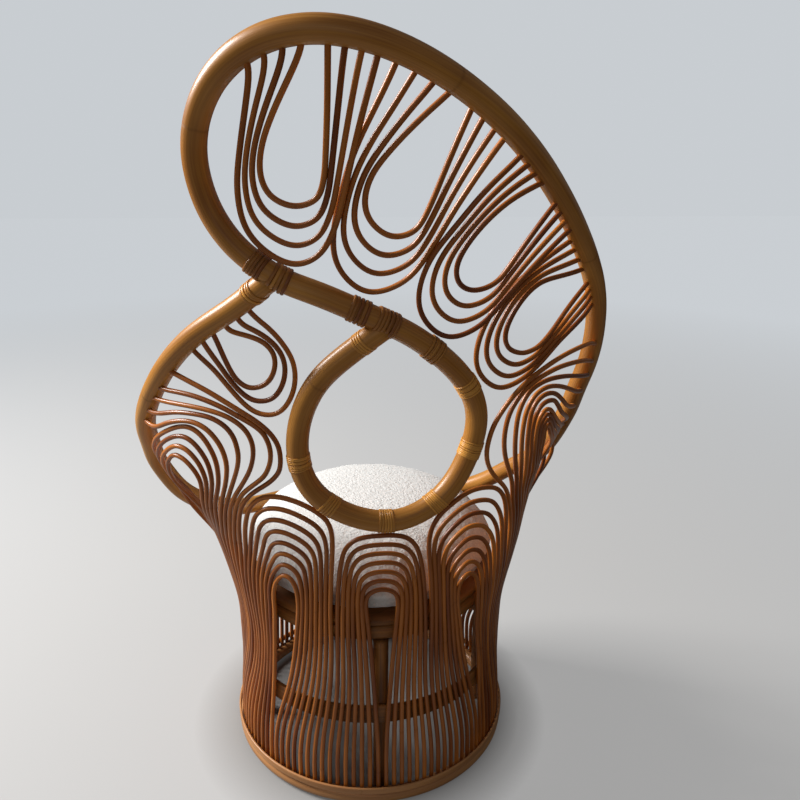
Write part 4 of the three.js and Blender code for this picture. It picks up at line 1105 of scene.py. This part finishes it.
# Thinnest and thickest cane, as shares of the usual diameter
CANE_SPREAD = (0.96, 1.02)
BACK_NEST_CANES = 4
ARM_NEST_CANES = 3
# First seeds of the canes
BACK_SEED = 20
ARM_NEST_SEED = 50
LEFT_ARM_SEED = 60
RIGHT_ARM_SEED = 70
DRUM_SEEDS = range(100, 160, 10)
# The start of the main pole is a fifth of its route. The search along the rest skips a
# fiftieth, because the ring crosses its own start.
POLE_START_PART = 5
POLE_SKIPPED_PART = 50
# The strips start a little inside the pole and overlap. How much their lean and tone vary
STRIP_INSET = 0.985
STRIP_OVERLAP = 1.06
STRIP_LEAN = (3.2, 4.8)
STRIP_TONES = (-0.15, 0.15)
BINDING_SEED = 7
# The solids of the rings have flat sides, so round sections lie a little further in
BASE_INSET = 1.04
SEAT_INSET = 1.05
POST_FIT = 0.98
# Each band's inside and outside, from the outside of its solid, how far it reaches below the
# solid, and the radius of its edges
TRIM = (0.0052, 0.0003, 0.0002, 0.002)
HOOP = (0.0085, 0.001, 0, 0.0025)
DECK_EDGE = 0.003
DECK_RINGS = (0.0, 0.06, 0.12, 0.18)


def add_canes(node, routes, seed):
    """Round canes along routes, as one piece that stands for a node."""
    size = bpy.context.scene.chair_canes.diameter / 2
    chance = random.Random(seed)
    form = Form()
    for i, rows in enumerate(routes):
        tone = chance.random()
        frames = route(rows, wander=WANDER, seed=seed + i)
        thick = size * chance.uniform(*CANE_SPREAD)
        form.rod(frames, lambda share, along: thick, CANE_SIDES, tone, chance.random())
    form.build(node, "round", "cane")


def add_rod(node, slot, frames, radius_at, sides, start=0.0):
    """A piece of one round rod."""
    form = Form()
    form.rod(frames, radius_at, sides, TONES[node], start)
    form.build(node, "round", slot)


def add_turned(node, slot, section, sides, ending="round"):
    """A piece that is a section swept round the middle."""
    form = Form()
    form.turned(section, sides, TONES[node])
    form.build(node, ending, slot)


def add_ring(node, slot, inset, sides):
    """A ring of round section inside the box of its solid."""
    low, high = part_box(node)
    thick = high[2] - low[2]
    section = round_section(high[0] - thick / 2 * inset, (low[2] + high[2]) / 2, thick)
    add_turned(node, slot, section, sides)


def add_band(node, slot, fit, sides):
    """A flat band that is bent to a ring inside the box of its solid."""
    low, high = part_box(node)
    inner, outer, drop, edge = fit
    section = band_section(high[0] - inner, high[0] - outer, low[2] - drop, high[2], edge)
    add_turned(node, slot, section, sides)


class CHAIR_OT_poles(bpy.types.Operator):
    """Adds the round main pole and the left arm pole"""

    bl_idname = "chair.poles"
    bl_label = "Poles"

    def execute(self, context):
        s = context.scene.chair_poles
        radius = s.diameter / 2

        def main_radius(share, along):
            swell = MAIN_SWELL * math.sin(along * MAIN_WAVE) * math.sin(along * MAIN_SLOW_WAVE)
            return radius * (1 - (1 - s.taper) * share) * (1 + swell)

        def arm_radius(share, along):
            return radius * s.taper * (1 + ARM_SWELL * math.sin(along * ARM_WAVE))

        main = route(MAIN_POLE, POLE_STEPS, POLE_EASING)
        arm = route(LEFT_ARM, POLE_STEPS, POLE_EASING)
        add_rod("main_frame_pole", "pole", main, main_radius, POLE_SIDES)
        add_rod("left_arm_pole", "pole", arm, arm_radius, POLE_SIDES, ARM_SKIN_START)
        return {"FINISHED"}


class CHAIR_OT_back_canes(bpy.types.Operator):
    """Adds the four nests of the back"""

    bl_idname = "chair.back_canes"
    bl_label = "Canes of the back"

    def execute(self, context):
        for n, canes in enumerate(BACK_NESTS):
            for i, rows in enumerate(nest_routes(canes, BACK_NEST_CANES, MAIN_POLE)):
                seed = BACK_SEED + BACK_NEST_CANES * n + i
                add_canes(f"back_nest_{n + 1}_cane_{i + 1}", [rows], seed)
        return {"FINISHED"}


class CHAIR_OT_arm_canes(bpy.types.Operator):
    """Adds the nest of the left arm and the single canes of both sides"""

    bl_idname = "chair.arm_canes"
    bl_label = "Canes of the sides"

    def execute(self, context):
        left = ray_routes(LEFT_RAYS, LEFT_BUNDLE, "left")
        right = ray_routes(RIGHT_RAYS, RIGHT_BUNDLE, "right")
        for name, routes, first_seed in (
            ("left_arm_nest_cane", nest_routes(ARM_NEST, ARM_NEST_CANES, LEFT_ARM), ARM_NEST_SEED),
            ("left_arm_cane", left, LEFT_ARM_SEED),
            ("right_arm_cane", right, RIGHT_ARM_SEED),
        ):
            for i, rows in enumerate(routes):
                add_canes(f"{name}_{i + 1}", [rows], first_seed + i)
        return {"FINISHED"}


class CHAIR_OT_drum_canes(bpy.types.Operator):
    """Adds the nested arches of the drum and of the sides"""

    bl_idname = "chair.drum_canes"
    bl_label = "Canes of the drum"

    def execute(self, context):
        rear_foot = REAR_CENTRE[0]
        for seed, (name, routes) in zip(DRUM_SEEDS, (
            ("rear_centre", centre_nest(REAR_CENTRE)),
            ("rear_left", side_nest(REAR_LEFT, rear_foot, "left")),
            ("rear_right", side_nest(REAR_RIGHT, rear_foot, "right")),
            ("left_arm", side_nest(LEFT_ARM_ARCHES, LEFT_ARM_FIRST_FOOT, "left")),
            ("right_arm", side_nest(RIGHT_ARM_ARCHES, RIGHT_ARM_FIRST_FOOT, "right")),
            ("front", front_nests()),
        )):
            add_canes(name + "_arch_canes", routes, seed)
        return {"FINISHED"}


class CHAIR_OT_bindings(bpy.types.Operator):
    """Adds the bindings of peel round the poles"""

    bl_idname = "chair.bindings"
    bl_label = "Bindings"

    def execute(self, context):
        radius = context.scene.chair_poles.diameter / 2 * STRIP_INSET
        main = route(MAIN_POLE, BINDING_STEPS, POLE_EASING)
        poles = {
            "main": main[len(main) // POLE_SKIPPED_PART :],
            "main_start": main[: len(main) // POLE_START_PART],
            "arm": route(LEFT_ARM, BINDING_STEPS, POLE_EASING),
        }
        chance = random.Random(BINDING_SEED)
        forms = {}
        for name, pole, place, shift, long, count, high, lean, pale in BINDINGS:
            form = forms.setdefault(name, Form())
            width = long / count
            for k in range(count):
                offset = shift + (k + 0.5 - count / 2) * width
                frame_there = self.frame_at(poles[pole], shell_point(*place), offset)
                slant = lean * chance.uniform(*STRIP_LEAN)
                tone = pale + chance.uniform(*STRIP_TONES)
                form.strip(frame_there, radius, width * STRIP_OVERLAP, high, slant, tone)
        for name, form in forms.items():
            form.build(name, "strips", "wrap")
        return {"FINISHED"}

    def frame_at(self, frames, target, offset):
        """The frame of a pole at an offset along it from its nearest one to a point."""
        middle = min(range(len(frames)), key=lambda i: (frames[i][0] - target).length)
        start = frames[middle][0]
        way = 1 if offset > 0 else -1
        i = middle
        while 0 < i < len(frames) - 1 and (frames[i][0] - start).length < abs(offset):
            i += way
        return frames[i]


class CHAIR_OT_base(bpy.types.Operator):
    """Adds the base ring and the thin band that covers the feet of the canes"""

    bl_idname = "chair.base"
    bl_label = "Base"

    def execute(self, context):
        add_ring("base_ring", "base", BASE_INSET, BASE_SIDES)
        add_band("base_trim", "base", TRIM, BASE_SIDES)
        return {"FINISHED"}


class CHAIR_OT_seat(bpy.types.Operator):
    """Adds the hoop, posts, ring and deck inside the drum"""

    bl_idname = "chair.seat"
    bl_label = "Seat frame"

    def execute(self, context):
        add_band("mid_hoop", "inner", HOOP, SEAT_SIDES)
        add_ring("seat_ring", "inner", SEAT_INSET, SEAT_SIDES)
        for node in ("post_1", "post_2", "post_3", "post_4"):
            self.add_post(node)
        low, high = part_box("seat_deck")
        under = [*((r, low[2]) for r in DECK_RINGS), (high[0] - DECK_EDGE, low[2])]
        above = [(high[0] - DECK_EDGE, high[2]), *((r, high[2]) for r in reversed(DECK_RINGS))]
        rim = [(high[0], low[2] + DECK_EDGE), (high[0], high[2] - DECK_EDGE)]
        add_turned("seat_deck", "inner", [*under, *rim, *above], DECK_SIDES, "board")
        return {"FINISHED"}

    def add_post(self, node):
        """An upright post in the middle of its solid's box."""
        low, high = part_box(node)
        x, y = (low[0] + high[0]) / 2, (low[1] + high[1]) / 2
        out = Vector((x, y, 0)).normalized()
        tall = high[2] - low[2]
        places = [(Vector((x, y, low[2] + tall * k / POST_STEPS)), out)
                  for k in range(POST_STEPS + 1)]
        radius = (high[0] - low[0]) / 2 * POST_FIT
        add_rod(node, "inner", frames_of(places), lambda share, along: radius, POST_SIDES)


# Cushion: rings and points round them, and how full the section is above and below the seam
# (powers of the width and of the height) and how flat the crown is
CUSHION_RINGS = 44
CUSHION_SIDES = 140
UPPER_FULLNESS = (0.36, 0.7)
LOWER_FULLNESS = (0.22, 0.45)
CROWN_POWER = 2.5
# Shares of the swell that the cover leaves free at the side and takes up at the top
SIDE_ROOM = 0.4
TOP_RISE = 0.3
BOTTOM_ROOM = 0.001
# Cloth: size of its cells, height and depth of the seam that holds it, frames, and settings
CLOTH_CELL = 0.0055
SEAM_HEIGHT = 0.006
SEAM_DEPTH = 0.02
CLOTH_FRAMES = 20
CLOTH = {
    "quality": 6,
    "mass": 0.25,
    "tension_stiffness": 12,
    "compression_stiffness": 12,
    "bending_stiffness": 0.8,
    "use_pressure": True,
    "uniform_pressure_force": 4,
    "vertex_group_mass": "seam",
}


def cushion_skin(radius, bottom, top, crown):
    """Rings of the cushion: flat below, round at the edge, crowned above."""
    middle = (bottom + top - crown) / 2
    half = (top - crown - bottom) / 2
    points, faces = [Vector((0, 0, bottom))], []
    for i in range(1, CUSHION_RINGS):
        angle = math.pi * (i / CUSHION_RINGS - 0.5)
        across, upright = UPPER_FULLNESS if angle > 0 else LOWER_FULLNESS
        r = radius * math.cos(angle) ** across
        height = math.copysign(abs(math.sin(angle)) ** upright, angle)
        rise = crown * max(0, 1 - (r / radius) ** CROWN_POWER) * max(height, 0)
        z = middle + height * half + rise
        points += [Vector((r * c, r * s, z)) for c, s, _ in around(CUSHION_SIDES)]
    points.append(Vector((0, 0, top)))
    last = 1 + (CUSHION_RINGS - 2) * CUSHION_SIDES
    for j in range(CUSHION_SIDES):
        k = (j + 1) % CUSHION_SIDES
        faces.append((0, 1 + k, 1 + j))
        faces.append((last + j, last + k, len(points) - 1))
        for start in range(1, last, CUSHION_SIDES):
            a, b = start + j, start + k
            faces.append((a, b, b + CUSHION_SIDES, a + CUSHION_SIDES))
    return points, faces


def settle(piece, seam_height, seam_radius, floor, most):
    """Lets the cover swell like cloth over its filling. The seam round the edge holds it in."""
    apply_modifier(piece, "REMESH", {"mode": "VOXEL", "voxel_size": CLOTH_CELL})
    mesh = piece.data
    start = [v.co.copy() for v in mesh.vertices]
    seam = piece.vertex_groups.new(name="seam")
    for v in mesh.vertices:
        near = 1 - abs(v.co.z - seam_height) / SEAM_HEIGHT
        if near > 0 and v.co.xy.length > seam_radius - SEAM_DEPTH:
            seam.add([v.index], near, "REPLACE")
    cloth = piece.modifiers.new("cloth", "CLOTH")
    for key, value in CLOTH.items():
        setattr(cloth.settings, key, value)
    cloth.settings.effector_weights.gravity = 0
    scene = bpy.context.scene
    for step in range(1, CLOTH_FRAMES + 1):
        scene.frame_set(step)
    evaluated = piece.evaluated_get(bpy.context.evaluated_depsgraph_get())
    ends = [v.co.copy() for v in evaluated.to_mesh().vertices]
    evaluated.to_mesh_clear()
    piece.modifiers.remove(cloth)
    scene.frame_set(1)
    for v, a, b in zip(mesh.vertices, start, ends):
        move = b - a
        if move.length > most:
            move = move.normalized() * most
        v.co = a + move
        v.co.z = max(v.co.z, floor)
    piece.vertex_groups.remove(seam)
    apply_modifier(piece, "SUBSURF", {"levels": 1, "render_levels": 1})
    mesh.polygons.foreach_set("use_smooth", [True] * len(mesh.polygons))


def apply_modifier(piece, kind, settings):
    """Changes a mesh by a modifier for good."""
    modifier = piece.modifiers.new(kind.lower(), kind)
    for key, value in settings.items():
        setattr(modifier, key, value)
    with bpy.context.temp_override(object=piece, active_object=piece, selected_objects=[piece]):
        bpy.ops.object.modifier_apply(modifier=modifier.name)


class CHAIR_OT_cushion(bpy.types.Operator):
    """Adds the padded cushion"""

    bl_idname = "chair.cushion"
    bl_label = "Cushion"

    def execute(self, context):
        s = context.scene.chair_cushion
        low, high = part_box("cushion")
        radius = (high[0] - low[0]) / 2 - s.swell * SIDE_ROOM
        bottom, top = low[2] + BOTTOM_ROOM, high[2] + s.swell * TOP_RISE
        form = Form()
        points, form.faces = cushion_skin(radius, bottom, top, s.crown)
        for p in points:
            form.point(p, tuple(p), TONES["cushion"])
        cloth = looped_pile("looped pile", s.light, s.shade)
        piece = form.build("cushion", "padded", "cushion", cloth)
        settle(piece, (bottom + top - s.crown) / 2, radius, low[2], s.swell)
        return {"FINISHED"}


# Stage: half the width of the floor, and each lamp's name, place, aim and size
FLOOR_HALF = 9
LAMPS = {
    "key": ((3.3, -1.0, 2.8), (0, 0.1, 0.7), 1.6),
    "fill": ((1.2, 3.0, 1.6), (0, 0, 0.6), 2.4),
}
# Camera: turn about the vertical, tilt, lean, place, and focal length in pixels
CAMERA_YAW = math.radians(6.7)
CAMERA_PITCH = math.radians(19.7)
CAMERA_ROLL = 0.011
CAMERA_BEHIND = 1.47
CAMERA_ASIDE = 0.0585
CAMERA_HEIGHT = 1.254
FOCAL_PIXELS = 797
PICTURE_PIXELS = 800
SENSOR_WIDTH = 36
CLIP_START = 0.05


class CHAIR_OT_stage(bpy.types.Operator):
    """Adds the floor, the lights and the camera of the photograph"""

    bl_idname = "chair.stage"
    bl_label = "Stage"

    def execute(self, context):
        s = context.scene.chair_stage
        scene = context.scene
        half = FLOOR_HALF
        corners = [(-half, -half, 0), (half, -half, 0), (half, half, 0), (-half, half, 0)]
        mesh = bpy.data.meshes.new("floor")
        mesh.from_pydata(corners, [], [(0, 1, 2, 3)])
        mesh.materials.append(plain_floor("floor", s.floor, s.lift, s.backdrop))
        floor = bpy.data.objects.new("floor", mesh)
        scene.collection.objects.link(floor)
        for name, (place, aim, size) in LAMPS.items():
            lamp = bpy.data.lights.new(name + " light", "AREA")
            lamp.size = size
            lamp.energy = getattr(s, name)
            light = bpy.data.objects.new(name + " light", lamp)
            light.location = place
            light.rotation_euler = (Vector(place) - Vector(aim)).to_track_quat("Z", "Y").to_euler()
            scene.collection.objects.link(light)
        scene.world = self.studio(s)
        scene.view_settings.view_transform = "Standard"
        self.add_camera(scene)
        return {"FINISHED"}

    def studio(self, s):
        """Even light from all round, and a plain backdrop that the camera alone sees."""
        world = bpy.data.worlds.new("studio")
        world.use_nodes = True
        nodes = world.node_tree.nodes
        shading = Shading(world.node_tree)
        shading.feed(nodes["Background"], {"Color": (1, 1, 1, 1), "Strength": s.sky})
        even = Socket(shading, nodes["Background"].outputs[0])
        backdrop = shading.node("ShaderNodeBackground", {}, {"Color": (*s.backdrop, 1)})
        seen = shading.node("ShaderNodeLightPath", {}, {})
        both = shading.node("ShaderNodeMixShader", {}, {0: seen, 1: even, 2: backdrop})
        shading.feed(nodes["World Output"], {"Surface": both})
        return world

    def add_camera(self, scene):
        """The camera stands behind the chair, a little to its left, and looks down."""
        turn = Matrix.Rotation(math.pi - CAMERA_YAW, 4, "Z")
        tilt = Matrix.Rotation(math.pi / 2 - CAMERA_PITCH, 4, "X")
        lean = Matrix.Rotation(CAMERA_ROLL, 4, "Z")
        place = Matrix.Translation((CAMERA_ASIDE, -CAMERA_BEHIND, CAMERA_HEIGHT))
        camera = bpy.data.cameras.new("camera")
        camera.lens = SENSOR_WIDTH * FOCAL_PIXELS / PICTURE_PIXELS
        camera.clip_start = CLIP_START
        viewer = bpy.data.objects.new("camera", camera)
        viewer.matrix_world = turn @ place @ tilt @ lean
        scene.collection.objects.link(viewer)
        scene.camera = viewer


class CHAIR_PT_panel(bpy.types.Panel):
    """Lists the pieces and their settings"""

    bl_label = "Peacock chair"
    bl_idname = "CHAIR_PT_panel"
    bl_space_type = "VIEW_3D"
    bl_region_type = "UI"
    bl_category = "Peacock chair"

    def draw(self, context):
        for operator in OPERATORS:
            self.layout.operator(operator.bl_idname)
        for group in GROUPS:
            box = self.layout.box()
            settings = getattr(context.scene, group)
            for key in settings.__annotations__:
                box.prop(settings, key)


OPERATORS = [
    CHAIR_OT_stage,
    CHAIR_OT_poles,
    CHAIR_OT_back_canes,
    CHAIR_OT_arm_canes,
    CHAIR_OT_drum_canes,
    CHAIR_OT_bindings,
    CHAIR_OT_base,
    CHAIR_OT_seat,
    CHAIR_OT_cushion,
]


def register():
    for cls in (*GROUPS.values(), *OPERATORS, CHAIR_PT_panel):
        bpy.utils.register_class(cls)
    for name, cls in GROUPS.items():
        setattr(bpy.types.Scene, name, bpy.props.PointerProperty(type=cls))


def unregister():
    for name in GROUPS:
        delattr(bpy.types.Scene, name)
    for cls in (CHAIR_PT_panel, *reversed(OPERATORS), *reversed(list(GROUPS.values()))):
        bpy.utils.unregister_class(cls)


def main():
    register()
    bpy.ops.chair.stage()
    bpy.ops.chair.poles()
    bpy.ops.chair.back_canes()
    bpy.ops.chair.arm_canes()
    bpy.ops.chair.drum_canes()
    bpy.ops.chair.bindings()
    bpy.ops.chair.base()
    bpy.ops.chair.seat()
    bpy.ops.chair.cushion()
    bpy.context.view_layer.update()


if __name__ == "__main__":
    main()
